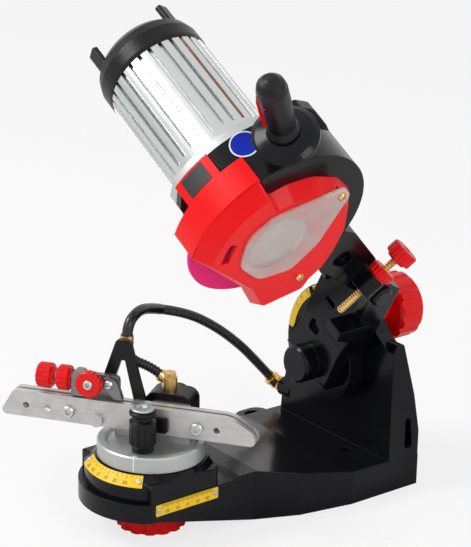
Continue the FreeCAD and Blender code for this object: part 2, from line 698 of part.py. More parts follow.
def jaw_outline():
    """Rail side outline: long bar with steep rounded ends."""
    top = CHAIN_Z
    return [(RAIL_LEFT, RAIL_LOW_Z, 4), (RAIL_RIGHT, RAIL_LOW_Z, 5),
            (RAIL_RIGHT - 5, RAIL_LOW_Z + 12, 10),
            (RAIL_RIGHT - 24, top, 26), (RAIL_LEFT + 13, top, 5)]


def rear_jaw():
    """Fixed jaw plate, with its foot on the turntable pad."""
    y0 = CHAIN_GAUGE_GAP / 2
    plate = front_slab(jaw_outline(), y0, y0 + RAIL_THICK)
    foot = slab([(-31, y0, 0), (31, y0, 0), (31, CYL_FRONT_V + 12, 5), (-31, CYL_FRONT_V + 12, 5)],
                DISC_RIM_Z + 1, CYL_LOW_Z)
    tower = slab([(CYL_U - 12, y0 + 3, 0), (CYL_U + CYL_HALF, y0 + 3, 0),
                  (CYL_U + CYL_HALF, CYL_FRONT_V, 2),
                  (CYL_U - 12, CYL_FRONT_V, 2)], RAIL_LOW_Z, CHAIN_Z - 3)
    plate = joined(plate, [foot, tower])
    cuts = [rod(ROD_R + RUN, 40, V(CYL_U, -10, ROD_Z), V(0, 1, 0))]
    for u in GUIDE_U:
        cuts.append(rod(JAW_BOLT_R, 40, V(u, -10, GUIDE_Z), V(0, 1, 0)))
    for u in JAW_HOLE_U:
        cuts.append(rod(JAW_HOLE_R, 40, V(u, -10, GUIDE_Z), V(0, 1, 0)))
    return plate.cut(cuts)


def front_jaw():
    """Moving jaw plate; its holes slide on the guide bolts."""
    y0 = CHAIN_GAUGE_GAP / 2
    plate = front_slab(jaw_outline(), -y0 - RAIL_THICK, -y0)
    boss = rod(5.5, 3, V(-45, -y0 - RAIL_THICK - 3, RAIL_LOW_Z + 5.5), V(0, 1, 0))
    plate = joined(plate, [boss])
    cuts = [rod(ROD_R, 40, V(CYL_U, -30, ROD_Z), V(0, 1, 0))]
    for u in GUIDE_U:
        cuts.append(rod(JAW_BOLT_R + RUN, 40, V(u, -20, GUIDE_Z), V(0, 1, 0)))
    for u in JAW_HOLE_U:
        cuts.append(rod(JAW_HOLE_R, 40, V(u, -20, GUIDE_Z), V(0, 1, 0)))
    dimple_u = (JAW_HOLE_U[0] + GUIDE_U[0]) / 2
    cuts.append(aim(spun([(0, 0), (2.8, 0), (0, 2.4)]), V(dimple_u, -y0 - RAIL_THICK, GUIDE_Z),
                    V(0, 1, 0)))
    return plate.cut(cuts)


def guide_bolts():
    """Two guide bolts fixed in the rear jaw; the front jaw runs on them."""
    y0 = CHAIN_GAUGE_GAP / 2
    bolts = []
    for u in GUIDE_U:
        bolt = socket_screw(5.0, 4.0, JAW_BOLT_R, 2 * y0 + 2 * RAIL_THICK + 4)
        nut = hexagon(9, -2 * y0 - 2 * RAIL_THICK - 4.1, -2 * y0 - 2 * RAIL_THICK - 0.1)
        bolts.append(aim(joined(bolt, [nut]), V(u, -y0 - RAIL_THICK - 0.1, GUIDE_Z), V(0, -1, 0)))
    return grouped(bolts)


def pull_rod():
    """Piston rod that draws the front jaw shut, with its black yoke block."""
    rod_y = -CHAIN_GAUGE_GAP / 2 - RAIL_THICK
    head_y = CYL_FRONT_V + 9
    piston = rod(ROD_R, head_y - rod_y + 6, V(CYL_U, rod_y - 3, ROD_Z), V(0, 1, 0))
    head = rod(PISTON_R, 4, V(CYL_U, head_y, ROD_Z), V(0, 1, 0))
    yoke = front_slab([(CYL_U - 7.5, 84, 2), (CYL_U + 8.5, 84, 2), (CYL_U + 8.5, 96.5, 2),
                       (CYL_U - 7.5, 96.5, 2)],
                      rod_y - 3.6, rod_y)
    return joined(piston, [head, yoke])


def clamp_cylinder():
    """Black hydraulic slave cylinder behind the rail."""
    left = CYL_U - CYL_HALF
    right = CYL_U + CYL_HALF
    rear = CYL_FRONT_V + CYL_LENGTH
    block = front_slab([(left, CYL_LOW_Z, 2), (right, CYL_LOW_Z, 2), (right, CYL_TOP_Z, 9),
                        (left, CYL_TOP_Z, 9)],
                       CYL_FRONT_V, rear)
    end = rod(11, 8, V(CYL_U, rear, ROD_Z + 3), V(0, 1, 0))
    rib = front_slab([(left + 4, CYL_TOP_Z - 9, 2), (right - 4, CYL_TOP_Z - 9, 2),
                      (right - 4, CYL_TOP_Z - 3, 2),
                      (left + 4, CYL_TOP_Z - 3, 2)], rear, rear + 4)
    block = joined(block, [end, rib])
    bore = rod(PISTON_R + RUN, CYL_LENGTH - 3, V(CYL_U, CYL_FRONT_V + 4, ROD_Z), V(0, 1, 0))
    throat = rod(ROD_R + RUN, 20, V(CYL_U, CYL_FRONT_V - 6, ROD_Z), V(0, 1, 0))
    port = rod(2.5, 20, V(FITTING_U, FITTING_V, ROD_Z + 6.5), V(0, 0, 1))
    return block.cut([bore, throat, port])


def fitting_frame():
    """Start point and unit direction of the hose at the cylinder fitting."""
    direction = V(FITTING_EXIT)
    direction.normalize()
    root = V(FITTING_U, FITTING_V, CYL_TOP_Z + 5)
    return root.add(direction * 11), direction


def cylinder_fitting():
    """Brass banjo fitting on top of the cylinder."""
    post = rod(2.5 - RUN, 9, V(FITTING_U, FITTING_V, CYL_TOP_Z - 6), V(0, 0, 1))
    banjo = rod(6.5, 10, V(FITTING_U, FITTING_V, CYL_TOP_Z), V(0, 0, 1))
    bolt = hexagon(10, CYL_TOP_Z + 10, CYL_TOP_Z + 14)
    bolt.translate(V(FITTING_U, FITTING_V, 0))
    tip, direction = fitting_frame()
    barrel = rod(4.6, 11, tip.sub(direction * 11), direction)
    collar = ring(5.4, 4.0, 3, tip.sub(direction * 4), direction)
    return joined(post, [banjo, bolt, barrel, collar])


def hose_bracket():
    """Dark arched stand on the rear jaw that carries the hose clip."""
    y0 = CHAIN_GAUGE_GAP / 2 + RAIL_THICK
    outer = [(-50, 92, 3), (-43, 124, 30), (-33, 153, 3), (-21, 153, 3), (-14, 124, 30), (-5, 92, 3)]
    inner = [(-41, 86, 0), (-35, 118, 12), (-29, 136, 1), (-25.5, 136, 1), (-21.5, 118, 12), (-14, 86, 0)]
    return front_slab(outer, y0, y0 + BRACKET_THICK).cut(front_slab(inner, y0 - 1,
                                                                    y0 + BRACKET_THICK + 1))


def hose_clip():
    """Gold ring clip round the hose on the bracket's tip."""
    centre = clip_centre()
    low = centre.sub(V(0, 0, CLIP_HALF))
    bore = SLEEVE_R + SLIDE_GAP
    clip = ring(SLEEVE_R + 1.2, bore, 2 * CLIP_HALF, low, V(0, 0, 1))
    strap_y = CHAIN_GAUGE_GAP / 2 + RAIL_THICK + BRACKET_THICK
    strap = box(centre.x - 4, centre.x + 4, strap_y, strap_y + 1.6, CLIP_Z - 5, CLIP_Z + 2)
    keep = rod(bore, 30, centre.sub(V(0, 0, 15)), V(0, 0, 1))
    return joined(clip, [strap.cut(keep)])


def clip_centre():
    return V(CLIP_U - 1.5, CHAIN_GAUGE_GAP / 2 + RAIL_THICK + BRACKET_THICK + 1.2 + SLEEVE_R, CLIP_Z)


def stop_bracket():
    """Grey steel carrier of the chain stop, bolted on the rear jaw's top."""
    y0 = CHAIN_GAUGE_GAP / 2
    foot = box(-68, -29, y0, y0 + RAIL_THICK, CHAIN_Z, CHAIN_Z + 4)
    lug = front_slab([(-68, CHAIN_Z, 0), (-57, CHAIN_Z, 0), (-57, STOP_Z + 8.5, 4),
                      (-68, STOP_Z + 8.5, 4)],
                     -5, y0 + RAIL_THICK)
    lug = lug.cut(box(-70, -55, -12, y0, CHAIN_Z - 5, CHAIN_Z + 1.0))
    rear = front_slab([(-58, CHAIN_Z + 2, 0), (-29, CHAIN_Z + 2, 0), (-29, STOP_Z + 6, 4),
                       (-58, STOP_Z + 6, 0)],
                      y0, y0 + RAIL_THICK)
    bracket = joined(foot, [lug, rear])
    cuts = [
        rod(STOP_ROD_R + RUN, 40, V(-80, STOP_V, STOP_Z), V(1, 0, 0)),
        rod(STOP_ROD_R + RUN, 30, V(CLAMP_U, -15, CLAMP_Z), V(0, 1, 0)),
        rod(PAWL_PIN_R, 30, V(PAWL_U, -15, STOP_Z), V(0, 1, 0)),
    ]
    return bracket.cut(cuts)


def knurled_knob(radius, height, bore):
    """Small knurled knob about Z with a slim collar."""
    knob = spun([(bore, 0), (radius * 0.7, 0), (radius * 0.7, 2.0), (radius - 0.8, 2.0), (radius, 3.0),
                 (radius, height - 1.2), (radius - 1.2, height), (bore, height)])
    cutters = []
    for i in range(18):
        angle = 2 * pi * i / 18
        cutters.append(rod(1.1, height, V((radius + 0.35) * cos(angle), (radius + 0.35) * sin(angle),
                                          2.0), V(0, 0, 1)))
    return knob.cut(cutters)


def stop_screw():
    """Threaded adjuster that sets the pawl's place along the rail."""
    return rod(STOP_ROD_R, 43.5, V(-98, STOP_V, STOP_Z), V(1, 0, 0))


def stop_screw_knob():
    return aim(knurled_knob(SMALL_KNOB_R, 14, STOP_ROD_R), V(-84, STOP_V, STOP_Z), V(-1, 0, 0))


def stop_lock_knob():
    return aim(knurled_knob(SMALL_KNOB_R, 12, STOP_ROD_R + RUN), V(-68.3, STOP_V, STOP_Z), V(-1, 0, 0))


def clamp_knob():
    """Face-on knurled knob round the head of the clamping screw."""
    return aim(knurled_knob(SMALL_KNOB_R + 0.8, 9, 4.0), V(CLAMP_U, -5.5, CLAMP_Z), V(0, -1, 0))


def clamp_screw():
    """Hexagon socket screw pressed in the knob; it locks the chain stop."""
    return aim(socket_screw(3.98, 5.0, STOP_ROD_R, 16.9), V(CLAMP_U, -10.5, CLAMP_Z), V(0, -1, 0))


def chain_pawl():
    """Swinging pawl whose tip stops the chain's cutter on the rail."""
    outline = [(PAWL_U - 6, STOP_Z - 2, 3), (PAWL_U + 5, STOP_Z - 12.5, 0),
               (PAWL_U + 12, STOP_Z - 12.5, 1),
               (PAWL_U + 10, STOP_Z - 6, 2), (PAWL_U + 6.5, STOP_Z + 3, 3), (PAWL_U, STOP_Z + 6.5, 4),
               (PAWL_U - 6, STOP_Z + 4, 3)]
    body = front_slab(outline, -3.5, CHAIN_GAUGE_GAP / 2 - 0.2)
    return body.cut(rod(PAWL_PIN_R + RUN, 30, V(PAWL_U, -15, STOP_Z), V(0, 1, 0)))


def pawl_pin():
    """Slotted pivot screw of the pawl."""
    return aim(pan_screw(4.0, 2.2, PAWL_PIN_R, 10.0), V(PAWL_U, -3.6, STOP_Z), V(0, -1, 0))


# Tilt cradle, upright before the tilt: pivot shaft, upright arm and clevis


def tilt_cradle():
    """Black bracket that tilts on the column and carries the swing hinge."""
    disc = rod(CRADLE_DISC_R, CRADLE_DISC_THICK, V(0, CRADLE_BACK_Y - CRADLE_DISC_THICK, CHAIN_Z),
               V(0, 1, 0))
    boss = spun([(0, 0), (14.4, 0), (16.4, 2), (16.4, 30), (0, 30)])
    boss = aim(boss, V(0, 150, CHAIN_Z), V(0, 1, 0))
    shaft = rod(PIVOT_BORE_R, WEB_THICK + PIVOT_BOSS_LEN + 16, V(0, CRADLE_BACK_Y - 1, CHAIN_Z),
                V(0, 1, 0))
    upright = side_slab([(CRADLE_BACK_Y, CHAIN_Z - 8, 0), (CRADLE_BACK_Y, CHAIN_Z + HINGE_UP + 4, 8),
                         (HINGE_Y + 2, CHAIN_Z + HINGE_UP + 4, 4), (HINGE_Y - 2, CHAIN_Z + 84, 14),
                         (CRADLE_FRONT_Y + 6, CHAIN_Z + 40, 20), (CRADLE_FRONT_Y + 6, CHAIN_Z - 8, 6)],
                        EAR_OUT_LEFT, EAR_OUT_RIGHT)
    taper = front_slab([(-30, CHAIN_Z - 20, 0), (30, CHAIN_Z - 20, 0), (26, CHAIN_Z + 30, 20),
                        (EAR_OUT_RIGHT, CHAIN_Z + 84, 10), (EAR_OUT_RIGHT, CHAIN_Z + HINGE_UP + 30, 0),
                        (EAR_OUT_LEFT, CHAIN_Z + HINGE_UP + 30, 0), (EAR_OUT_LEFT, CHAIN_Z + 84, 10),
                        (-26, CHAIN_Z + 30, 20)], 100, 230)
    upright = upright.common(taper)
    ears = []
    for x0, x1 in ((EAR_IN_RIGHT, EAR_OUT_RIGHT), (EAR_OUT_LEFT, EAR_IN_LEFT)):
        ears.append(rod(HINGE_BARREL_R, x1 - x0, head_point(x0, HINGE_Y, HINGE_UP), V(1, 0, 0)))
        ears.append(side_slab([(HINGE_Y - HINGE_BARREL_R + 1, CHAIN_Z + HINGE_UP - 4, 0),
                               (HINGE_Y - HINGE_BARREL_R + 6, CHAIN_Z + 76, 4),
                               (CRADLE_BACK_Y, CHAIN_Z + 76, 0),
                               (CRADLE_BACK_Y, CHAIN_Z + HINGE_UP + 2, 3),
                               (HINGE_Y + 5, CHAIN_Z + HINGE_UP + 11, 4)],
                              x0, x1))
    pad = side_slab([(CRADLE_FRONT_Y + 20, CHAIN_Z + 50, 0),
                     (CRADLE_FRONT_Y - 14, CHAIN_Z + STOP_PAD_UP - 9, 3),
                     (CRADLE_FRONT_Y - 14, CHAIN_Z + STOP_PAD_UP, 1),
                     (CRADLE_FRONT_Y + 20, CHAIN_Z + STOP_PAD_UP, 0)],
                    14, 31)
    pointer = front_slab([(-30, CHAIN_Z + 24, 0), (-50, CHAIN_Z + 30.5, 0), (-53, CHAIN_Z + 31.8, 0),
                          (-51, CHAIN_Z + 29, 0), (-32, CHAIN_Z + 14, 0)], CRADLE_BACK_Y - 4,
                         CRADLE_BACK_Y - 1)
    body = joined(disc, [boss, shaft, upright, pad, pointer] + ears)
    swing_room = HINGE_BARREL_R + 1.5
    cuts = [
        rod(swing_room, EAR_IN_RIGHT - EAR_IN_LEFT, head_point(EAR_IN_LEFT, HINGE_Y, HINGE_UP),
            V(1, 0, 0)),
        rod(HINGE_PIN_R, 90, head_point(-50, HINGE_Y, HINGE_UP), V(1, 0, 0)),
        rod(STUD_R, 60, V(0, 180, CHAIN_Z + ARC_SLOT_R), V(0, 1, 0)),
        box(EAR_IN_LEFT, EAR_IN_RIGHT, HINGE_Y - 40, HINGE_Y + 12, CHAIN_Z + HINGE_UP - 2,
            CHAIN_Z + HINGE_UP + 40),
        side_slab([(HINGE_Y - 60, CHAIN_Z + HINGE_UP - 34, 0),
                   (HINGE_Y + 5.5, CHAIN_Z + HINGE_UP - 16, 4),
                   (HINGE_Y + 14, CHAIN_Z + HINGE_UP - 4, 4), (HINGE_Y + 14, CHAIN_Z + HINGE_UP + 50, 0),
                   (HINGE_Y - 60, CHAIN_Z + HINGE_UP + 50, 0)], EAR_IN_LEFT, 10.0),
    ]
    for up in (34.0, 60.0):
        cuts.append(slab([(-16, -6, 3), (-3, -6, 3), (-3, 6, 3), (-16, 6, 3)], -3, 3))
        cuts[-1].rotate(V(0, 0, 0), V(1, 0, 0), 90)
        cuts[-1].translate(V(0, CRADLE_FRONT_Y + 6 + (up - 30) * 0.22, CHAIN_Z + up))
    return body.cut(cuts)


def pivot_nut():
    """Hex nut and washer behind the column on the cradle's shaft."""
    y0 = WEB_FRONT_Y + WEB_THICK + PIVOT_BOSS_LEN + SEAT_GAP
    washer = ring(19, PIVOT_BORE_R, 2.5, V(0, y0, CHAIN_Z), V(0, 1, 0))
    nut = hexagon(30, 0, 9).cut(rod(PIVOT_BORE_R, 12, V(0, 0, -1), V(0, 0, 1)))
    return joined(washer, [aim(nut, V(0, y0 + 2.5, CHAIN_Z), V(0, 1, 0))])


def swing_pin():
    """Hinge pin through both ears of the cradle, with its end caps."""
    length = EAR_OUT_RIGHT - EAR_OUT_LEFT + 6
    pin = rod(HINGE_PIN_R, length, head_point(EAR_OUT_LEFT - 3, HINGE_Y, HINGE_UP), V(1, 0, 0))
    caps = []
    for x, way in ((EAR_OUT_RIGHT, 1), (EAR_OUT_LEFT, -1)):
        cap = spun([(0, 0), (9.5, 0), (9.5, 2.5), (7.5, 4.5), (0, 4.5)])
        caps.append(aim(cap, head_point(x, HINGE_Y, HINGE_UP), V(way, 0, 0)))
    return joined(pin, caps)


def tilt_stud():
    """Stud of the tilt lock, through the column's arc slot."""
    start = CRADLE_BACK_Y - 12.8
    return rod(STUD_R, TILT_KNOB_Y + BIG_KNOB_H - 3 - start, V(0, start, CHAIN_Z + ARC_SLOT_R),
               V(0, 1, 0))


def tilt_knob():
    """Big fluted knob behind the column; its neck presses on the arc slot."""
    knob = fluted_knob(BIG_KNOB_R, BIG_KNOB_H, 14, 4.2, STUD_R + RUN)
    neck_len = TILT_KNOB_Y - WEB_FRONT_Y - WEB_THICK - 0.2
    neck = ring(12, STUD_R + RUN, neck_len + 2, V(0, 0, -neck_len), V(0, 0, 1))
    flange = ring(17, STUD_R + RUN, 2.5, V(0, 0, -neck_len), V(0, 0, 1))
    knob = joined(knob, [neck, flange])
    return aim(knob, V(0, TILT_KNOB_Y, CHAIN_Z + ARC_SLOT_R), V(0, 1, 0))


# Swing head: arm, rim casting, guards, lens, handle


def rim_point(radius, angle_deg):
    angle = radians(angle_deg)
    return (WHEEL_Y + radius * cos(angle), CHAIN_Z + WHEEL_UP + radius * sin(angle))


def handle_root():
    """Where the handle's axis leaves the rim."""
    y, z = rim_point(RIM_R, HANDLE_ROOT_ANGLE)
    return V(HANDLE_ROOT_X, y, z)


def handle_way():
    """Unit direction of the handle's axis."""
    angle = radians(HANDLE_AIM_ANGLE)
    return V(0, cos(angle), sin(angle))


def depth_lug_point():
    """Middle of the split lug that carries the depth screw."""
    return depth_tip().add(depth_way() * 33.0)


def wall_fall(edge):
    """Outline that draws the wall in from the guard to the motor flange."""
    corners = []
    for radius, angle in ((38, 150), (edge, 160), (edge, GUARD_REAR_END), (67.6, 179), (55.0, 196),
                          (34, 206)):
        y, z = rim_point(radius, angle)
        corners.append((y, z, 0))
    return corners


def back_wall():
    """Wall behind the wheel: full width under the rim, drawn in to the motor flange."""
    x1 = RIM_BACK_X + BACK_WALL
    edge = GUARD_R - GUARD_WALL - 0.2
    sector = head_band(edge, 30, RIM_START, GUARD_REAR_END, RIM_BACK_X, x1)
    hub = rod(MOTOR_FLANGE_R, BACK_WALL, head_point(RIM_BACK_X, WHEEL_Y, WHEEL_UP), V(1, 0, 0))
    return [sector, hub, side_slab(wall_fall(edge), RIM_BACK_X, x1)]


def lifting_rib():
    """Curved rib on the rim's rear edge, running up into the handle flange."""
    outline = [(96.0, 248.0, 2), (76.5, 272.4, 14), (56.0, 291.5, 8), (40.0, 297.0, 4), (24.0, 284.0, 0),
               (40.0, 262.0, 0), (84.0, 240.0, 0)]
    return side_slab([(y, CHAIN_Z + up, r) for y, up, r in outline], RIM_BACK_X, RIM_BACK_X + 9)


def head_casting():
    """Black arm casting: hinge barrel, arm, rim over the wheel, back wall."""
    rim = head_band(RIM_R, RIM_R - RIM_WALL, RIM_START, RIM_END, RIM_BACK_X, RIM_FRONT_X)
    rear_rim = head_band(RIM_R, RIM_R - RIM_WALL, RIM_END - 1, RIM_REAR_END, RIM_BACK_X,
                         RIM_STEP_X - SEAT_GAP)
    lip = head_band(RIM_R, RIM_LIP_R, RIM_START, RIM_END, RIM_FRONT_X - 4, RIM_FRONT_X)
    top_y, top_z = rim_point(RIM_R - 1, -14)
    low_y, low_z = rim_point(RIM_R - 1, RIM_START + 1)
    hinge_z = CHAIN_Z + HINGE_UP
    arm_left = EAR_IN_LEFT + EAR_GAP
    arm_right = EAR_IN_RIGHT - EAR_GAP
    arm = side_slab([(HINGE_Y + 8, hinge_z + 10, 4), (ARM_ELBOW[0], CHAIN_Z + ARM_ELBOW[1], 12),
                     (ARM_TOP[0], CHAIN_Z + ARM_TOP[1], 9), (top_y, top_z, 0), (low_y, low_z, 0),
                     (ARM_LOW[0], CHAIN_Z + ARM_LOW[1], 10), (HINGE_Y - 9, hinge_z - 10, 6)], arm_left,
                    RIM_FRONT_X)
    arm = arm.cut(rod(RIM_R - 1, 80, head_point(-60, WHEEL_Y, WHEEL_UP), V(1, 0, 0)))
    pocket = side_slab([(HINGE_Y - 23, hinge_z + 20, 6), (ARM_TOP[0] - 1, CHAIN_Z + ARM_TOP[1] - 16, 7),
                        (ARM_LOW[0] + 9, CHAIN_Z + ARM_LOW[1] + 4, 6)], RIM_FRONT_X - 6, RIM_FRONT_X + 5)
    arm = arm.cut(pocket)
    barrel = rod(HINGE_BARREL_R, arm_right - arm_left, head_point(arm_left, HINGE_Y, HINGE_UP),
                 V(1, 0, 0))
    way = depth_way()
    lug_point = depth_lug_point()
    ly = lug_point.y
    lz = lug_point.z
    lug = rod(9, 16, lug_point.sub(way * 8), way)
    neck = side_slab([(ly - 9, lz - 5, 2), (ly + 2, lz - 11, 2), (ly + 9, lz + 4, 2),
                      (ly - 2, lz + 11, 2)],
                     RIM_FRONT_X - 4, DEPTH_X)
    boss_way = handle_way()
    boss = aim(spun([(0, -14), (17, -14), (17, 1), (HANDLE_FLANGE_R, 2.5), (HANDLE_FLANGE_R, 6), (22, 9),
                     (13, HANDLE_NECK - 0.5), (0, HANDLE_NECK)]), handle_root(), boss_way)
    inside = rod(RIM_R - RIM_WALL, 120, head_point(-60, WHEEL_Y, WHEEL_UP), V(1, 0, 0))
    boss = boss.cut(inside)
    rib = lifting_rib().cut(inside)
    body = joined(rim, [rear_rim, lip, arm, barrel, lug, neck, boss, rib] + back_wall())
    cuts = [
        rod(HINGE_PIN_R + RUN, 80, head_point(-40, HINGE_Y, HINGE_UP), V(1, 0, 0)),
        rod(SHAFT_R + 4, 40, head_point(-50, WHEEL_Y, WHEEL_UP), V(1, 0, 0)),
        rod(DEPTH_SCREW_R + RUN, 60, lug_point.sub(way * 30), way),
        rod(HANDLE_SPIGOT_R, 24, handle_root().add(boss_way * 2), boss_way),
    ]
    return body.cut(cuts)


def wheel_guard():
    """Red guard band carried on the back wall, open below the wheel."""
    front = head_band(GUARD_R, GUARD_R - GUARD_WALL, RIM_END + 0.3, GUARD_END, RIM_STEP_X, RIM_FRONT_X)
    rear = head_band(GUARD_R, GUARD_R - GUARD_WALL, RIM_REAR_END + 0.2, GUARD_REAR_END, RIM_BACK_X,
                     RIM_STEP_X + 1)
    return joined(front, [rear])


def cover_corners(scale):
    """Cover outline drawn in towards its centre, as corners in the machine frame."""
    corners = []
    for y, up, radius in COVER_EDGE:
        corners.append((COVER_CENTRE[0] + (y - COVER_CENTRE[0]) * scale,
                        CHAIN_Z + COVER_CENTRE[1] + (up - COVER_CENTRE[1]) * scale, radius * scale))
    return corners


def yz_wire(corners, x):
    """Closed wire through (y, z, radius) corners in the plane at X."""
    wire = rounded_wire(corners)
    turn = FreeCAD.Rotation(V(0, 1, 0), V(0, 0, 1), V(1, 0, 0), "ZXY")
    wire.Placement = FreeCAD.Placement(V(x, 0, 0), turn)
    return wire


def front_cover():
    """Red pressed cover: tapered walls rise to a flat face with a round window."""
    foot = cover_corners(1.0)
    face = cover_corners(COVER_FACE_SCALE)
    outer = Part.makeLoft([yz_wire(foot, RIM_FRONT_X), yz_wire(face, GUARD_FACE_X)], True, True)
    inner = Part.makeLoft([yz_wire(inset(foot, COVER_WALL), RIM_FRONT_X - 0.01),
                           yz_wire(inset(face, COVER_WALL), GUARD_FACE_X - COVER_WALL)], True, True)
    cuts = [inner, rod(LENS_HOLE_R, 20, V(15, LENS_CENTRE[0], CHAIN_Z + LENS_CENTRE[1]), V(1, 0, 0))]
    for y, up in LENS_SCREWS:
        cuts.append(rod(1.6, 12, V(17, y, CHAIN_Z + up), V(1, 0, 0)))
    slot = arc_band(61, 54, 168, 187, 20)
    turn = FreeCAD.Rotation(V(0, 1, 0), V(0, 0, 1), V(1, 0, 0), "ZXY")
    slot.Placement = FreeCAD.Placement(V(15, WHEEL_Y, CHAIN_Z + WHEEL_UP), turn).multiply(slot.Placement)
    cuts.append(slot)
    return outer.cut(cuts)


def lens():
    """Clear teardrop window plate with a raised dome over the hub."""
    cy = LENS_CENTRE[0]
    cz = CHAIN_Z + LENS_CENTRE[1]
    outline = [(y, CHAIN_Z + up, radius) for y, up, radius in LENS_EDGE]
    plate = side_slab(outline, GUARD_FACE_X, GUARD_FACE_X + LENS_THICK)
    dome_r = 60.0
    rim = LENS_DOME_R
    drop = sqrt(dome_r ** 2 - rim ** 2)
    steps = 5
    top = []
    under = []
    for i in range(steps + 1):
        r = rim * i / steps
        top.append((r, sqrt(dome_r ** 2 - r ** 2) - drop + LENS_THICK))
        r2 = (rim - LENS_THICK) * i / steps
        under.append((r2, sqrt((dome_r - LENS_THICK) ** 2 - r2 ** 2) - drop + LENS_THICK))
    profile = [(0.0, top[0][1])] + top[1:] + [(rim, 0.0), (rim - LENS_THICK, 0.0)]
    profile = profile + list(reversed(under[1:])) + [(0.0, under[0][1])]
    dome = aim(spun(profile), V(GUARD_FACE_X, cy, cz), V(1, 0, 0))
    plate = plate.cut(rod(rim - 1.0, 10, V(GUARD_FACE_X - 3, cy, cz), V(1, 0, 0)))
    solid = joined(plate, [dome])
    y, up = LENS_SCREWS[0]
    return solid.cut(rod(1.6, 12, V(17, y, CHAIN_Z + up), V(1, 0, 0)))


def guard_screws():
    """Two brass screws in the cover, the upper one through the window plate."""
    screws = []
    for (y, up), seat in zip(LENS_SCREWS, (GUARD_FACE_X + LENS_THICK, GUARD_FACE_X)):
        screws.append(aim(pan_screw(3.6, 2.6, 1.55, 6.0), V(seat, y, CHAIN_Z + up), V(1, 0, 0)))
    return grouped(screws)


def side_way():
    """Unit direction square to the handle in which the switch bar faces."""
    axis = handle_way()
    side = V(TRIGGER_SIDE)
    side = side.sub(axis * side.dot(axis))
    side.normalize()
    return side


def grip_slot(half_width, depth_from, depth_to, s0, s1):
    """Block along the handle between two distances, facing the switch side."""
    axis = handle_way()
    side = side_way()
    cross = axis.cross(side)
    block = box(depth_from, depth_to, -half_width, half_width, s0, s1)
    turn = FreeCAD.Rotation(side, cross, axis, "ZXY")
    block.Placement = FreeCAD.Placement(handle_root(), turn).multiply(block.Placement)
    return block


def handle_grip():
    """Black hand grip with a waisted neck and a rounded end."""
    end = HANDLE_END
    grip = spun([(0, HANDLE_NECK - 4), (HANDLE_SPIGOT_R - RUN, HANDLE_NECK - 4),
                 (HANDLE_SPIGOT_R - RUN, HANDLE_NECK + 0.1),
                 (12, HANDLE_NECK + 0.1), (12.6, HANDLE_NECK + 3), (10.4, HANDLE_NECK + 9),
                 (10.8, end - 46),
                 (11.5, end - 30), (11.7, end - 12), (10.4, end - 6), (7, end - 2), (0, end)])
    grip = aim(grip, handle_root(), handle_way())
    slot = grip_slot(4.3, 2.0, 20.0, TRIGGER_FROM, TRIGGER_TO)
    pin_hole = rod(TRIGGER_PIN_R, 30, trigger_pivot().sub(trigger_axis() * 15), trigger_axis())
    return grip.cut([slot, pin_hole])


def trigger_axis():
    """Direction of the switch bar's hinge pin."""
    return handle_way().cross(side_way())


def trigger_pivot():
    """Middle of the switch bar's hinge pin."""
    return handle_root().add(handle_way() * (TRIGGER_TO - 4.0)).add(side_way() * 6.3)


def switch_trigger():
    """Red safety switch bar hinged at its outer end."""
    bar = grip_slot(4.0, 5.0, 12.9, TRIGGER_FROM + 2, TRIGGER_TO - 1)
    return bar.cut(rod(TRIGGER_PIN_R + RUN, 30, trigger_pivot().sub(trigger_axis() * 15), trigger_axis()))


def trigger_pin():
    """Hinge pin of the switch bar, held in the grip."""
    return rod(TRIGGER_PIN_R, 17, trigger_pivot().sub(trigger_axis() * 8.5), trigger_axis())


# Depth stop screw on the arm

def depth_way():
    """Unit direction up the depth screw."""
    way = V(0, DEPTH_WAY[0], DEPTH_WAY[1])
    way.normalize()
    return way


def depth_tip():
    return head_point(DEPTH_X, DEPTH_TIP[0], DEPTH_TIP[1])


def depth_screw():
    """Brass threaded depth stop with a rounded tip."""
    return aim(spun([(0, 0), (2.2, 0), (DEPTH_SCREW_R, 1.6), (DEPTH_SCREW_R, 74), (0, 74)]),
               depth_tip(), depth_way())


def depth_knob():
    return aim(knurled_knob(DEPTH_KNOB_R, 13, DEPTH_SCREW_R), depth_tip().add(depth_way() * 62),
               depth_way())


def depth_lock_knob():
    knob = knurled_knob(DEPTH_KNOB_R - 1, 10, DEPTH_SCREW_R + RUN)
    return aim(knob, depth_tip().add(depth_way() * 41.4), depth_way())


# Grinding wheel and motor

def grinding_wheel():
    half = WHEEL_THICK / 2
    wheel = spun([(WHEEL_BORE_R, -half), (WHEEL_R - 1.2, -half), (WHEEL_R, -half + 1.2),
                  (WHEEL_R, half - 1.2),
                  (WHEEL_R - 1.2, half), (WHEEL_BORE_R, half)])
    return aim(wheel, head_point(0, WHEEL_Y, WHEEL_UP), V(1, 0, 0))


def wheel_hub():
    """Aluminium hub with its back flange, keyed on the shaft."""
    half = WHEEL_THICK / 2
    hub = spun([(SHAFT_R, -half - 8), (14, -half - 8), (14, -half - 4), (25, -half - 2), (25, -half),
                (WHEEL_BORE_R, -half),
                (WHEEL_BORE_R, half), (SHAFT_R, half)])
    return aim(hub, head_point(0, WHEEL_Y, WHEEL_UP), V(1, 0, 0))


def wheel_nut():
    """Outer flange washer with the clamping nut."""
    half = WHEEL_THICK / 2
    washer = spun([(SHAFT_R, half), (25, half), (25, half + 1.5), (17, half + 3), (SHAFT_R, half + 3)])
    nut = hexagon(19, half + 3, half + 11).cut(rod(SHAFT_R, 30, V(0, 0, 0), V(0, 0, 1)))
    return aim(joined(washer, [nut]), head_point(0, WHEEL_Y, WHEEL_UP), V(1, 0, 0))


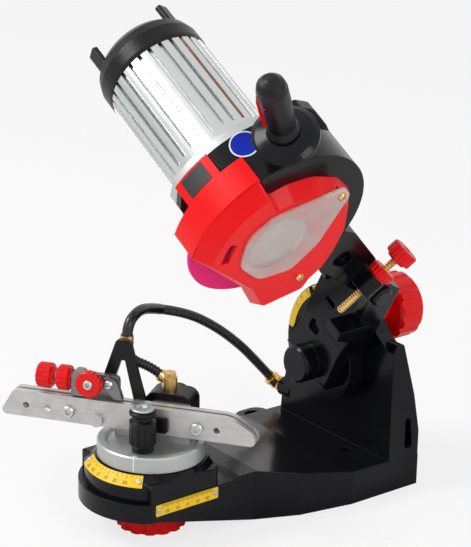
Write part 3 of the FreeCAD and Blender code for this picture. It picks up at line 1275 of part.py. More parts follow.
def motor_shaft():
    """Shaft from the wheel nut to the rear bearing."""
    rear = CAP_REAR_X + BEARING_LEN + 6
    front = WHEEL_THICK / 2 + 12.6
    shaft = spun([(0, front), (SHAFT_R - 1, front), (SHAFT_R, front - 1), (SHAFT_R, rear), (0, rear)])
    return aim(shaft, head_point(0, WHEEL_Y, WHEEL_UP), V(1, 0, 0))


def rotor():
    """Slotted rotor core on the shaft."""
    core = spun([(SHAFT_R, CORE_REAR_X), (22, CORE_REAR_X), (22, CORE_FRONT_X), (SHAFT_R, CORE_FRONT_X)])
    slots = []
    for i in range(16):
        angle = 2 * pi * i / 16
        slots.append(rod(1.2, CORE_FRONT_X - CORE_REAR_X + 10,
                         V(21.4 * cos(angle), 21.4 * sin(angle), CORE_REAR_X - 5), V(0, 0, 1)))
    return aim(core.cut(slots), head_point(0, WHEEL_Y, WHEEL_UP), V(1, 0, 0))


def cooling_fan():
    """Radial fan on the shaft, between the fins and the end cap."""
    front = FIN_REAR_X - 0.5
    rear = FIN_REAR_X - 10
    hub = spun([(SHAFT_R, rear), (12, rear), (12, front - 1.5), (34, front - 1.5), (34, front),
                (SHAFT_R, front)])
    blades = []
    for i in range(8):
        blade = box(11, 34, -0.9, 0.9, rear, front - 1)
        blade.rotate(V(0, 0, 0), V(0, 0, 1), i * 45)
        blades.append(blade)
    return aim(joined(hub, blades), head_point(0, WHEEL_Y, WHEEL_UP), V(1, 0, 0))


def stator():
    """Laminated ring fixed in the motor barrel."""
    outer = MOTOR_BORE_R - SEAT_GAP
    core = spun([(23, CORE_REAR_X), (outer, CORE_REAR_X), (outer, CORE_FRONT_X), (23, CORE_FRONT_X)])
    return aim(core, head_point(0, WHEEL_Y, WHEEL_UP), V(1, 0, 0))


def windings():
    """Copper end turns on both sides of the stator."""
    coils = []
    for low in (CORE_REAR_X - COIL_REACH, CORE_FRONT_X):
        high = low + COIL_REACH
        coil = spun([(24.5, low), (31.5, low), (32.5, low + 4), (32.5, high), (23.5, high),
                     (23.5, low + 3)])
        coils.append(aim(coil, head_point(0, WHEEL_Y, WHEEL_UP), V(1, 0, 0)))
    return grouped(coils)


def motor_bell():
    """Aluminium front plate on the back wall, with the bearing seat and the neck to the collar."""
    front = RIM_BACK_X - SEAT_GAP
    back = RIM_BACK_X - FRONT_PLATE
    edge = RIM_R - RIM_WALL
    neck = spun([(BEARING_R, front), (MOTOR_FLANGE_R, front), (MOTOR_FLANGE_R, back), (42, back),
                 (42, COLLAR_FRONT_X), (37, COLLAR_FRONT_X), (37, back), (BEARING_R + 5, back),
                 (BEARING_R + 5, back - 4), (BEARING_R, back - 4)])
    neck = aim(neck, head_point(0, WHEEL_Y, WHEEL_UP), V(1, 0, 0))
    sector = head_band(edge, 30, RIM_START, GUARD_REAR_END, back, front)
    bell = joined(neck, [sector, side_slab(wall_fall(edge), back, front)])
    return bell.cut(rod(GLAND_R, 20, head_point(GLAND_X, WHEEL_Y, WHEEL_UP - 30), V(0, 0, -1)))


def motor_bearings():
    """Two ball bearings as closed rings, front and rear."""
    rings = []
    for x in (RIM_BACK_X - 3 - BEARING_LEN, CAP_REAR_X + 10):
        rings.append(ring(BEARING_R - RUN, SHAFT_R + RUN, BEARING_LEN, head_point(x, WHEEL_Y, WHEEL_UP),
                          V(1, 0, 0)))
    return grouped(rings)


def motor_body():
    """Aluminium barrel with its front collar and lengthwise cooling fins."""
    barrel = spun([(MOTOR_BORE_R, FIN_REAR_X), (MOTOR_CORE_R, FIN_REAR_X), (MOTOR_CORE_R, FIN_FRONT_X),
                   (COLLAR_R, FIN_FRONT_X), (COLLAR_R, COLLAR_FRONT_X), (MOTOR_BORE_R, COLLAR_FRONT_X)])
    root = MOTOR_CORE_R - 0.6
    fins = []
    for i in range(FIN_COUNT):
        fin = slab([(root, -1.3, 0), (MOTOR_R, -0.8, 0), (MOTOR_R, 0.8, 0), (root, 1.3, 0)],
                   FIN_REAR_X, FIN_FRONT_X + 1)
        fin.rotate(V(0, 0, 0), V(0, 0, 1), 360.0 * i / FIN_COUNT)
        fins.append(fin)
    return aim(joined(barrel, fins), head_point(0, WHEEL_Y, WHEEL_UP), V(1, 0, 0))


def end_cap():
    """Black end cap with louvres and three slim standing feet."""
    rear = CAP_REAR_X
    inner = CAP_R - 3.2
    cap = spun([(36, FIN_REAR_X), (CAP_R - 0.6, FIN_REAR_X), (CAP_R, FIN_REAR_X - 3),
                (CAP_R, rear + 14), (CAP_R - 2.4, rear + 6),
                (CAP_R - 8, rear), (0, rear), (0, rear + 4), (10, rear + 4), (10, rear + 10),
                (BEARING_R, rear + 10),
                (BEARING_R, rear + 10 + BEARING_LEN), (BEARING_R + 3, rear + 10 + BEARING_LEN),
                (BEARING_R + 3, rear + 4),
                (34, rear + 4), (inner - 1.4, rear + 9), (inner, rear + 15), (inner, FIN_REAR_X - 3),
                (36, FIN_REAR_X - 3)])
    feet = []
    for angle in FOOT_ANGLES:
        foot = slab([(34, -6, 2), (39.5, -6, 2), (39.5, 6, 2), (34, 6, 2)], rear - 15, rear + 5)
        foot.rotate(V(0, 0, 0), V(0, 0, 1), angle + 90)
        feet.append(foot)
    louvres = []
    for i in range(12):
        cut = box(20, 31, -1.6, 1.6, rear - 1, rear + 8)
        cut.rotate(V(0, 0, 0), V(0, 0, 1), 30.0 * i + 15)
        louvres.append(cut)
    body = joined(cap, feet).cut(louvres)
    return aim(body, head_point(0, WHEEL_Y, WHEEL_UP), V(1, 0, 0))


def cord_gland():
    """Rubber bush for the mains lead under the front bell, with its blind mouth."""
    neck = GLAND_R - RUN
    gland = spun([(0, 0), (neck, 0), (neck, 8), (8, 8), (8, 11), (7, 13), (5, 22), (3.5, 22), (3.5, 4),
                  (0, 4)])
    return aim(gland, head_point(GLAND_X, WHEEL_Y, WHEEL_UP - 34), V(0, 0, -1))


# Hydraulic hose

def hose_wire(points):
    """Straight runs joined by tangent arcs through a list of points."""
    edges = []
    radii = []
    start = points[0]
    for i in range(1, len(points) - 1):
        here = points[i]
        back = points[i - 1].sub(here)
        ahead = points[i + 1].sub(here)
        run = min(back.Length, ahead.Length)
        back.normalize()
        ahead.normalize()
        turn = pi - acos(max(-1.0, min(1.0, back.dot(ahead))))
        radius = 0.45 * run / tan(turn / 2)
        reach = 0.45 * run
        a = here.add(back * reach)
        b = here.add(ahead * reach)
        bisector = back.add(ahead)
        bisector.normalize()
        centre = here.add(bisector * (radius / cos(turn / 2)))
        mid = centre.sub(bisector * radius)
        if a.sub(start).Length > 1e-6:
            edges.append(Part.LineSegment(start, a).toShape())
        edges.append(Part.Arc(a, mid, b).toShape())
        radii.append(round(radius, 1))
        start = b
    edges.append(Part.LineSegment(start, points[-1]).toShape())
    return Part.Wire(edges), radii


def path_frame(wire, distance):
    """Point and unit tangent at a distance along a wire."""
    left = distance
    for edge in wire.OrderedEdges:
        if left <= edge.Length or edge.isSame(wire.OrderedEdges[-1]):
            parameter = edge.getParameterByLength(min(left, edge.Length))
            tangent = edge.tangentAt(parameter)
            tangent.normalize()
            return edge.valueAt(parameter), tangent
        left -= edge.Length
    return None


def path_circle(wire, distance, radius, x_axis):
    """Circle square to the path, started from the X axis handed along it."""
    point, tangent = path_frame(wire, distance)
    across = x_axis.sub(tangent * x_axis.dot(tangent))
    across.normalize()
    turn = FreeCAD.Rotation(across, tangent.cross(across), tangent, "ZXY")
    circle = Part.Wire([Part.Circle(V(0, 0, 0), V(0, 0, 1), radius).toShape()])
    circle.Placement = FreeCAD.Placement(point, turn)
    return circle, across


def ribbed_hose(points):
    """Ribbed hose with its bore: four circles to a rib, lofted ruled."""
    wire, radii = hose_wire(points)
    length = wire.Length
    plain = 2 * HOSE_R
    count = int((length - 2 * plain) / HOSE_PITCH)
    pitch = (length - 2 * plain) / count
    stations = [(0.0, HOSE_GROOVE_R), (plain, HOSE_GROOVE_R)]
    for i in range(count):
        base = plain + i * pitch
        stations.append((base + pitch * 0.25, HOSE_R))
        stations.append((base + pitch * 0.7, HOSE_R))
        stations.append((base + pitch * 0.95, HOSE_GROOVE_R))
    stations.append((length, HOSE_GROOVE_R))
    across = V(1, 0, 0)
    circles = []
    bore = []
    for distance, radius in stations:
        circle, across = path_circle(wire, distance, radius, across)
        circles.append(circle)
    solid = Part.makeLoft(circles, True, True)
    across = V(1, 0, 0)
    steps = max(8, int(length / 6))
    for i in range(steps + 1):
        circle, across = path_circle(wire, length * i / steps, HOSE_BORE_R, across)
        bore.append(circle)
    print("hose radii", radii, "length", round(length, 1), "ribs", count)
    return solid.cut(Part.makeLoft(bore, True, True))


def smooth_hose(points, radius):
    wire, radii = hose_wire(points)
    length = wire.Length
    circles = []
    bore = []
    across = V(1, 0, 0)
    steps = max(8, int(length / 5))
    for i in range(steps + 1):
        circle, across = path_circle(wire, length * i / steps, radius, across)
        circles.append(circle)
        hole, across = path_circle(wire, length * i / steps, HOSE_BORE_R, across)
        bore.append(hole)
    print("sleeve radii", radii, "length", round(length, 1))
    return Part.makeLoft(circles, True, True).cut(Part.makeLoft(bore, True, True))


def turned_point(point):
    """Vise-frame point carried to the machine frame by the swivel."""
    angle = radians(SWIVEL_ANGLE)
    return V(point.x * cos(angle) - point.y * sin(angle), point.x * sin(angle) + point.y * cos(angle),
             point.z)


def hose_points():
    """Route of the hose: column elbow, free bow, sleeve, clip, cylinder."""
    exit_dir = V(HOSE_EXIT)
    exit_dir.normalize()
    lead = HOSE_START.add(exit_dir * 20)
    free = [HOSE_START, lead, V(-76, 152, 97), V(-67, 117, 125), V(-59, 78, 149), SLEEVE_START]
    last_run = SLEEVE_START.sub(free[-2])
    last_run.normalize()
    clip = turned_point(clip_centre())
    clip_end = clip.sub(V(0, 0, CLIP_HALF))
    sleeve = [SLEEVE_START, SLEEVE_START.add(last_run * 18), V(-37.5, 12.5, 170.5),
              clip.add(V(0, 0, 12)), clip_end]
    tip, direction = fitting_frame()
    tail = [clip_end, clip_end.sub(V(0, 0, 12)), turned_point(tip.add(direction * 8)), turned_point(tip)]
    return free, sleeve, tail


def build():
    write("base_casting", base_casting())
    write("slide_scale", slide_scale())
    write("tilt_scale", tilt_scale())
    write("master_cylinder", master_cylinder())
    write("base_fitting", base_fitting())

    write("vise_carriage", vise_carriage())
    write("swivel_scale", swivel_scale())
    write("bottom_knob", bottom_knob())

    vise_pieces = {
        "vise_disc": vise_disc, "swivel_stud": swivel_stud, "jaw_post": jaw_post,
        "rear_jaw": rear_jaw, "front_jaw": front_jaw, "guide_bolts": guide_bolts, "pull_rod": pull_rod,
        "clamp_cylinder": clamp_cylinder, "cylinder_fitting": cylinder_fitting,
                   "hose_bracket": hose_bracket,
        "hose_clip": hose_clip, "stop_bracket": stop_bracket, "stop_screw": stop_screw,
        "stop_screw_knob": stop_screw_knob, "stop_lock_knob": stop_lock_knob, "clamp_knob": clamp_knob,
        "clamp_screw": clamp_screw, "chain_pawl": chain_pawl, "pawl_pin": pawl_pin,
    }
    for name, make in vise_pieces.items():
        write(name, swivelled(make()))

    free, sleeve, tail = hose_points()
    write("hose_ribbed", ribbed_hose(free))
    write("hose_sleeve", smooth_hose(sleeve, SLEEVE_R))
    write("hose_tail", ribbed_hose(tail))

    head_pieces = {
        "tilt_cradle": tilt_cradle, "pivot_nut": pivot_nut, "swing_pin": swing_pin,
                   "tilt_stud": tilt_stud,
        "tilt_knob": tilt_knob, "head_casting": head_casting, "wheel_guard": wheel_guard,
        "front_cover": front_cover, "lens": lens, "guard_screws": guard_screws,
                   "handle_grip": handle_grip,
        "switch_trigger": switch_trigger, "trigger_pin": trigger_pin,
        "depth_screw": depth_screw, "depth_knob": depth_knob, "depth_lock_knob": depth_lock_knob,
        "grinding_wheel": grinding_wheel, "wheel_hub": wheel_hub, "wheel_nut": wheel_nut,
        "motor_shaft": motor_shaft, "rotor": rotor, "cooling_fan": cooling_fan, "stator": stator,
        "windings": windings, "motor_bell": motor_bell, "motor_bearings": motor_bearings,
        "motor_body": motor_body, "end_cap": end_cap, "cord_gland": cord_gland,
    }
    for name, make in head_pieces.items():
        write(name, tilted(make()))


build()
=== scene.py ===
import math

import bmesh
import bpy
import numpy as np
from mathutils import Matrix, Vector


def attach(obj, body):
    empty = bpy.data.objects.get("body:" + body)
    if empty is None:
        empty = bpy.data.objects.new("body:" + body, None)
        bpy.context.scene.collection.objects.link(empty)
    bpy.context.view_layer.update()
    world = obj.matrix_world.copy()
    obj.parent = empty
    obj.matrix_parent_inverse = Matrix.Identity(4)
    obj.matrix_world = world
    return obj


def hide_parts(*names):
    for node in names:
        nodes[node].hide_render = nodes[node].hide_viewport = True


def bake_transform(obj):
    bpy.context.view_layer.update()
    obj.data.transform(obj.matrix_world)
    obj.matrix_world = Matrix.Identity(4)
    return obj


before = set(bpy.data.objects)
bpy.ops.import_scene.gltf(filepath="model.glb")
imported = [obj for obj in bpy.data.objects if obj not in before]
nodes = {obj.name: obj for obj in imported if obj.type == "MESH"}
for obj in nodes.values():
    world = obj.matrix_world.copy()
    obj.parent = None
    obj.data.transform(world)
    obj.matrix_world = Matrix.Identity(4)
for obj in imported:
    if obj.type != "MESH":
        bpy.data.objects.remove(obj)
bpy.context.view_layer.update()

scene = bpy.context.scene
scene.view_settings.view_transform = "Standard"


# Camera. It stands to the operator's right and a little above the bench, and
# looks at the middle of the machine.
camera_turn, camera_lift, camera_roll = math.radians(51.4), math.radians(19.1), math.radians(1.1)
looked_at = Vector((0.029, -0.098, 0.199))
toward = Vector((math.sin(camera_turn) * math.cos(camera_lift),
                 -math.cos(camera_turn) * math.cos(camera_lift), math.sin(camera_lift)))
level = Vector((math.cos(camera_turn), math.sin(camera_turn), 0.0))
upward = toward.cross(level)
rolled = level * math.cos(camera_roll) + upward * math.sin(camera_roll)
upright = upward * math.cos(camera_roll) - level * math.sin(camera_roll)
camera = bpy.data.objects.new("camera", bpy.data.cameras.new("camera"))
camera_lens, camera_distance = 135.2, 1.681
camera.data.lens = camera_lens
camera.data.sensor_width = 36.0
camera.data.clip_end = 20.0
view = Matrix((rolled, upright, toward)).transposed().to_4x4()
view.translation = looked_at + toward * camera_distance
camera.matrix_world = view
scene.collection.objects.link(camera)
scene.camera = camera


# Hydraulic hose. A black hose wound with a fine rib runs in a bow from the
# elbow behind the column to a smooth sleeve, and a short ribbed tail goes from
# the brass clip down to the clamp cylinder.
def follow(name, points):
    """Points along the smooth NURBS line that has the given route as its control points."""
    curve = bpy.data.curves.new(name, "CURVE")
    curve.dimensions = "3D"
    curve.resolution_u = 24
    spline = curve.splines.new("NURBS")
    spline.points.add(len(points) - 1)
    spline.points.foreach_set("co", np.c_[np.array(points), np.ones(len(points))].ravel())
    spline.order_u = 3
    spline.use_endpoint_u = True
    holder = bpy.data.objects.new(name, curve)
    mesh = bpy.data.meshes.new_from_object(holder)
    line = np.empty(len(mesh.vertices) * 3)
    mesh.vertices.foreach_get("co", line)
    bpy.data.objects.remove(holder)
    bpy.data.curves.remove(curve)
    bpy.data.meshes.remove(mesh)
    return line.reshape(-1, 3)


def spread(line, step):
    """The line resampled at equal steps of its own length: points, distances."""
    legs = np.linalg.norm(np.diff(line, axis=0), axis=1)
    along = np.r_[0.0, np.cumsum(legs)]
    count = max(2, int(round(along[-1] / step)) + 1)
    at = np.linspace(0.0, along[-1], count)
    return np.stack([np.interp(at, along, line[:, k]) for k in range(3)], axis=1), at


def skin(name, grid, look, soft=True):
    """Quads between neighbouring points of a grid whose rows run along the piece and whose
    columns run round it; rows that shrink to a point close the ends, and the doubled points
    there are merged."""
    rows, columns = grid.shape[:2]
    number = np.arange(rows * columns).reshape(rows, columns)
    number = np.c_[number, number[:, :1]]
    faces = np.stack([number[:-1, :-1], number[:-1, 1:], number[1:, 1:], number[1:, :-1]], axis=-1)
    mesh = bpy.data.meshes.new(name)
    mesh.from_pydata(grid.reshape(-1, 3).tolist(), [], faces.reshape(-1, 4).tolist())
    work = bmesh.new()
    work.from_mesh(mesh)
    bmesh.ops.remove_doubles(work, verts=work.verts, dist=1e-7)
    bmesh.ops.recalc_face_normals(work, faces=work.faces)
    work.to_mesh(mesh)
    work.free()
    mesh.polygons.foreach_set("use_smooth", np.full(len(mesh.polygons), soft))
    mesh.materials.append(look)
    piece = bpy.data.objects.new(name, mesh)
    scene.collection.objects.link(piece)
    return piece


def tube(line, radii, sides, reference=(1.0, 0.0, 0.0)):
    """Circle of the given radius round each point of the line, square to the line; the first
    and last rings are repeated at no radius, so the ends are closed."""
    line = np.concatenate([line[:1], line, line[-1:]])
    radii = np.r_[0.0, radii, 0.0]
    heading = np.gradient(line, axis=0)
    heading[0], heading[-1] = heading[1], heading[-2]
    heading /= np.linalg.norm(heading, axis=1)[:, None]
    first = np.cross(heading, reference)
    first /= np.linalg.norm(first, axis=1)[:, None]
    second = np.cross(heading, first)
    turn = np.linspace(0.0, 2.0 * np.pi, sides, endpoint=False)[None, :, None]
    circle = np.cos(turn) * first[:, None, :] + np.sin(turn) * second[:, None, :]
    return line[:, None, :] + radii[:, None, None] * circle


def surface_look(name, colour, rough, metal=0.0, shine=0.5):
    """A material of one even colour and gloss; patterns are laid over it with pattern()."""
    look = bpy.data.materials.new(name)
    look.use_nodes = True
    shader = look.node_tree.nodes["Principled BSDF"]
    shader.inputs["Base Color"].default_value = (*colour, 1.0)
    shader.inputs["Roughness"].default_value = rough
    shader.inputs["Metallic"].default_value = metal
    shader.inputs["Specular IOR Level"].default_value = shine
    return look


def pattern(look, size, stretch=(1.0, 1.0, 1.0), turn=(0.0, 0.0, 0.0), shade=0.0, tint=(0.0, 0.0, 0.0),
            rough=0.0, raised=0.0, detail=4.0, steps=(0.3, 0.7)):
    """Noise of the given size in metres on Object coordinates. It mixes the colour towards
    tint by up to shade, adds up to rough to the roughness and lifts the surface by raised."""
    tree = look.node_tree
    shader = tree.nodes["Principled BSDF"]
    place = tree.nodes.new("ShaderNodeTexCoord")
    lay = tree.nodes.new("ShaderNodeMapping")
    lay.vector_type = "TEXTURE"
    lay.inputs["Rotation"].default_value = turn
    lay.inputs["Scale"].default_value = stretch
    tree.links.new(place.outputs["Object"], lay.inputs["Vector"])
    noise = tree.nodes.new("ShaderNodeTexNoise")
    noise.inputs["Scale"].default_value = 1.0 / size
    noise.inputs["Detail"].default_value = detail
    tree.links.new(lay.outputs["Vector"], noise.inputs["Vector"])
    spreadout = tree.nodes.new("ShaderNodeMapRange")
    spreadout.inputs["From Min"].default_value = steps[0]
    spreadout.inputs["From Max"].default_value = steps[1]
    tree.links.new(noise.outputs["Fac"], spreadout.inputs["Value"])
    if shade:
        amount = tree.nodes.new("ShaderNodeMath")
        amount.operation = "MULTIPLY"
        amount.inputs[1].default_value = shade
        tree.links.new(spreadout.outputs["Result"], amount.inputs[0])
        mix = tree.nodes.new("ShaderNodeMix")
        mix.data_type = "RGBA"
        base = shader.inputs["Base Color"]
        if base.is_linked:
            tree.links.new(base.links[0].from_socket, mix.inputs["A"])
        else:
            mix.inputs["A"].default_value = base.default_value
        mix.inputs["B"].default_value = (*tint, 1.0)
        tree.links.new(amount.outputs["Value"], mix.inputs["Factor"])
        tree.links.new(mix.outputs["Result"], base)
    if rough:
        more = tree.nodes.new("ShaderNodeMapRange")
        gloss = shader.inputs["Roughness"]
        more.inputs["To Min"].default_value = gloss.default_value
        more.inputs["To Max"].default_value = gloss.default_value + rough
        tree.links.new(spreadout.outputs["Result"], more.inputs["Value"])
        tree.links.new(more.outputs["Result"], gloss)
    if raised:
        bump = tree.nodes.new("ShaderNodeBump")
        bump.inputs["Distance"].default_value = raised
        normal = shader.inputs["Normal"]
        if normal.is_linked:
            tree.links.new(normal.links[0].from_socket, bump.inputs["Normal"])
        tree.links.new(noise.outputs["Fac"], bump.inputs["Height"])
        tree.links.new(bump.outputs["Normal"], normal)


def rounded_edges(look, radius):
    """Blends the surface direction over the given radius, so that sharp edges catch light."""
    tree = look.node_tree
    soft = tree.nodes.new("ShaderNodeBevel")
    soft.samples = 6
    soft.inputs["Radius"].default_value = radius
    tree.links.new(soft.outputs["Normal"], tree.nodes["Principled BSDF"].inputs["Normal"])


hose_black = surface_look("hose_black", (0.006, 0.006, 0.007), 0.20, shine=0.5)
pattern(hose_black, 0.004, shade=0.4, tint=(0.02, 0.02, 0.021), rough=0.12)
hose_route = [(-0.056, 0.0106, 0.0565), (-0.05899, -0.00214, 0.07163), (-0.047, -0.03, 0.097),
              (-0.038, -0.065, 0.125), (-0.03, -0.104, 0.149), (-0.021, -0.136, 0.161)]
sleeve_route = [(-0.021, -0.136, 0.161), (-0.01642, -0.1523, 0.16711), (-0.0085, -0.1695, 0.1705),
                (-0.00311, -0.18409, 0.1625), (-0.00311, -0.18409, 0.1465)]
tail_route = [(-0.00311, -0.18409, 0.1465), (-0.00311, -0.18409, 0.1345),
              (0.00513, -0.16441, 0.12418), (0.00966, -0.16026, 0.11905)]
rib_pitch, rib_top, rib_foot = 0.003, 0.0042, 0.0031
sleeve_radius, sleeve_cuff = 0.0045, 0.0014


def ribbed(line):
    """Path and radii of a tube: the radius goes from the foot to the top of the ribs and back
    once each pitch, by the 0.6th power of half a wave."""
    path, at = spread(line, rib_pitch / 8)
    wave = np.abs(np.sin(np.pi * at / rib_pitch)) ** 0.6
    return path, rib_foot + (rib_top - rib_foot) * wave


hose_line = follow("hose_route", hose_route)
hose_path, hose_radii = ribbed(hose_line)
hose = skin("hose_bow", tube(hose_path, hose_radii, 20), hose_black)
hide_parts("hose_ribbed")
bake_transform(hose)

sleeve_path, sleeve_at = spread(follow("sleeve_route", sleeve_route), 0.0015)
sleeve_radii = sleeve_radius - 0.0005 * (np.minimum(sleeve_at, sleeve_at[::-1]) < sleeve_cuff)
sleeve = skin("hose_smooth_sleeve", tube(sleeve_path, sleeve_radii, 24), hose_black)
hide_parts("hose_sleeve")
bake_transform(sleeve)

tail_path, tail_radii = ribbed(follow("tail_route", tail_route))
tail = skin("hose_tail_ribbed", tube(tail_path, tail_radii, 20, (0.0, 1.0, 0.0)), hose_black)
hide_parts("hose_tail")
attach(tail, "turntable")


# Base, carriage, cradle, head and the cylinder behind the column. They are
# castings under glossy black enamel, a little uneven over the cast skin.
def dress(look, *names):
    """Gives the named solids the finish in place of their plain one."""
    for name in names:
        mesh = nodes[name].data
        mesh.materials.clear()
        mesh.materials.append(look)


enamel = surface_look("black_enamel", (0.0030, 0.0032, 0.0045), 0.15, shine=0.20)
rounded_edges(enamel, 0.0012)
pattern(enamel, 0.0016, raised=0.00003, rough=0.08, detail=2.0)
pattern(enamel, 0.022, shade=0.35, tint=(0.006, 0.007, 0.012), raised=0.0002, detail=3.0)
dress(enamel, "base_casting", "vise_carriage", "tilt_cradle", "head_casting", "master_cylinder")


# Clamp cylinder, its rod and bracket, the adjusting post and the hinge pin.
# They are machined steel with a satin black finish, bolted or pressed in.
cylinder_black = surface_look("cylinder_black", (0.004, 0.004, 0.005), 0.24, shine=0.24)
rounded_edges(cylinder_black, 0.0008)
pattern(cylinder_black, 0.006, shade=0.4, tint=(0.015, 0.015, 0.016), rough=0.2)
dress(cylinder_black, "clamp_cylinder", "hose_bracket", "pull_rod", "jaw_post", "swing_pin")


# Bright steel and brass. Bolts, pins, nuts, studs, the motor's shaft and its
# bearings are bright steel or zinc plated; fittings and cover screws are brass.
zinc = surface_look("zinc_plate", (0.62, 0.62, 0.60), 0.26, metal=1.0)
pattern(zinc, 0.003, shade=0.35, tint=(0.36, 0.36, 0.35), rough=0.18)
dress(zinc, "guide_bolts", "clamp_screw", "pivot_nut", "pawl_pin", "trigger_pin", "tilt_stud",
      "swivel_stud", "wheel_nut", "motor_shaft", "motor_bearings")
brass = surface_look("brass", (0.83, 0.58, 0.22), 0.24, metal=1.0)
pattern(brass, 0.003, shade=0.35, tint=(0.45, 0.28, 0.08), rough=0.18)
dress(brass, "base_fitting", "cylinder_fitting", "hose_clip", "guard_screws")


# Threaded screws. The chain stop's adjuster is zinc-plated steel, and the depth
# stop is brass; each has a rolled thread over its whole length and turns in its
# tapped hole.
swivel_x, swivel_y, chain_height = 29.0, -182.0, 103.5
swivel_turn, head_lean = math.radians(35.0), math.radians(30.0)


def vise_points(points):
    """Vise points in millimetres, turned with the vise about its swivel and set in place."""
    u, v, z = points[..., 0], points[..., 1], points[..., 2]
    return np.stack([(u * math.cos(swivel_turn) - v * math.sin(swivel_turn) + swivel_x) / 1000.0,
                     (u * math.sin(swivel_turn) + v * math.cos(swivel_turn) + swivel_y) / 1000.0,
                     z / 1000.0], axis=-1)


def base_points(points):
    """Machine points in millimetres from the swivel's foot, set in place."""
    return (points + np.array([swivel_x, swivel_y, 0.0])) / 1000.0


def head_points(points):
    """Head points in millimetres, leant with the head about the chain's line."""
    x, y, up = points[..., 0], points[..., 1], points[..., 2]
    return base_points(np.stack([x * math.cos(head_lean) + up * math.sin(head_lean), y,
                                 up * math.cos(head_lean) - x * math.sin(head_lean) + chain_height],
                                axis=-1))


def along(points, start, way):
    """Points whose third number runs along a way from its start, the others square to it."""
    way = np.array(way) / np.linalg.norm(way)
    side = np.cross(way, (0.31, 0.52, 0.79))
    side /= np.linalg.norm(side)
    other = np.cross(way, side)
    return np.array(start) + points[..., :1] * side + points[..., 1:2] * other + points[..., 2:3] * way


def thread(length, radius, pitch, depth, sides=24):
    """Rings along a rod whose radius falls by a triangle wave of distance over pitch less the
    angle's share of a full turn, which is one helical groove; the ends are chamfered."""
    rows = int(length / pitch * 8) + 1
    far = np.linspace(0.0, length, rows)[:, None]
    turn = np.linspace(0.0, 2.0 * np.pi, sides, endpoint=False)[None, :]
    wave = np.abs(((far / pitch - turn / (2.0 * np.pi)) % 1.0) * 2.0 - 1.0)
    reach = radius - depth * wave
    reach *= np.clip(np.minimum(far, length - far) / radius * 3.0, 0.72, 1.0)
    grid = np.stack([reach * np.cos(turn), reach * np.sin(turn), far + 0.0 * turn], axis=-1)
    low, high = grid[:1] * (0.0, 0.0, 1.0), grid[-1:] * (0.0, 0.0, 1.0)
    return np.concatenate([low, grid, high])


stop_thread = thread(length=43.5, radius=3.0, pitch=1.25, depth=0.55)
stop_end, stop_way = (-98.0, 1.0, 117.0), (1.0, 0.0, 0.0)
stop_rod = skin("stop_screw_thread", vise_points(along(stop_thread, stop_end, stop_way)), zinc)
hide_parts("stop_screw")
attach(stop_rod, "stop_screw")
depth_thread = thread(length=74.0, radius=3.5, pitch=2.2, depth=0.9)
depth_tip, depth_way = (24.5, 136.0, 98.0), (0.0, 0.581, 0.814)
depth_rod = skin("depth_screw_thread", head_points(along(depth_thread, depth_tip, depth_way)), brass)
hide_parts("depth_screw")
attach(depth_rod, "depth_screw")


# Rail jaws and chain stop. The jaws are two long steel bars, ground flat along
# their length and dull plated; the stop's bracket and pawl are darker steel.
rail_steel = surface_look("rail_steel", (0.60, 0.59, 0.57), 0.34, metal=0.8)
rounded_edges(rail_steel, 0.0006)
pattern(rail_steel, 0.0012, stretch=(16.0, 1.0, 1.0), turn=(0.0, 0.0, swivel_turn), shade=0.3,
        tint=(0.36, 0.35, 0.34), rough=0.14, raised=0.00002)
pattern(rail_steel, 0.011, shade=0.35, tint=(0.42, 0.40, 0.38), steps=(0.48, 0.62))
dress(rail_steel, "rear_jaw", "front_jaw")
stop_steel = surface_look("stop_steel", (0.20, 0.19, 0.19), 0.32, metal=0.9)
rounded_edges(stop_steel, 0.0006)
pattern(stop_steel, 0.004, shade=0.5, tint=(0.34, 0.33, 0.33), rough=0.2)
dress(stop_steel, "stop_bracket", "chain_pawl")


# Swivel disc and wheel hub. Cast aluminium, turned on top and sand-rough at the
# rim; a white line painted over the disc's rim is its reading mark.
disc_aluminium = surface_look("disc_aluminium", (0.50, 0.53, 0.52), 0.40, metal=0.75)
rounded_edges(disc_aluminium, 0.0008)
pattern(disc_aluminium, 0.0011, raised=0.00005, shade=0.2, tint=(0.40, 0.41, 0.41), detail=3.0)
pattern(disc_aluminium, 0.014, shade=0.35, tint=(0.44, 0.43, 0.42))
dress(disc_aluminium, "vise_disc", "wheel_hub")
mark_white = surface_look("mark_white", (0.86, 0.87, 0.86), 0.5)
pattern(mark_white, 0.001, shade=0.25, tint=(0.6, 0.6, 0.6), rough=0.1)


def stripe(line, half, thick):
    """Rings of a strip laid along a line of (out, height) pairs: across, it runs from -half to
    half, and its skin lies a thickness outside the line, along the line's normal."""
    line = np.array(line)
    run = np.gradient(line, axis=0)
    out = np.stack([run[:, 1], -run[:, 0]], axis=1) / np.linalg.norm(run, axis=1)[:, None]
    outer, inner = line + out * thick, line - out * 0.05
    rows = [np.stack([np.full(len(line), side), ring[:, 0], ring[:, 1]], axis=1)
            for side, ring in ((-half, inner), (-half, outer), (half, outer), (half, inner))]
    grid = np.stack(rows, axis=1)
    ends = grid.mean(axis=1, keepdims=True).repeat(4, axis=1)
    return np.concatenate([ends[:1], grid, ends[-1:]])


rim_profile = [(44.7, 63.0), (44.7, 69.0), (44.7, 74.2), (43.6, 75.5), (41.5, 75.5), (38.8, 75.5)]
mark_grid = stripe(rim_profile, half=0.45, thick=0.12) * (1.0, -1.0, 1.0)
disc_mark = skin("disc_mark", vise_points(mark_grid), mark_white, soft=False)
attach(disc_mark, "turntable")


# Screw heads. Small screws, zinc-plated on the scale plates and aluminium on the post, hold the
# scale plates and cap the post; each has a domed head with a cross or a hexagon pressed in.
around = np.linspace(0.0, 2.0 * np.pi, 72, endpoint=False)


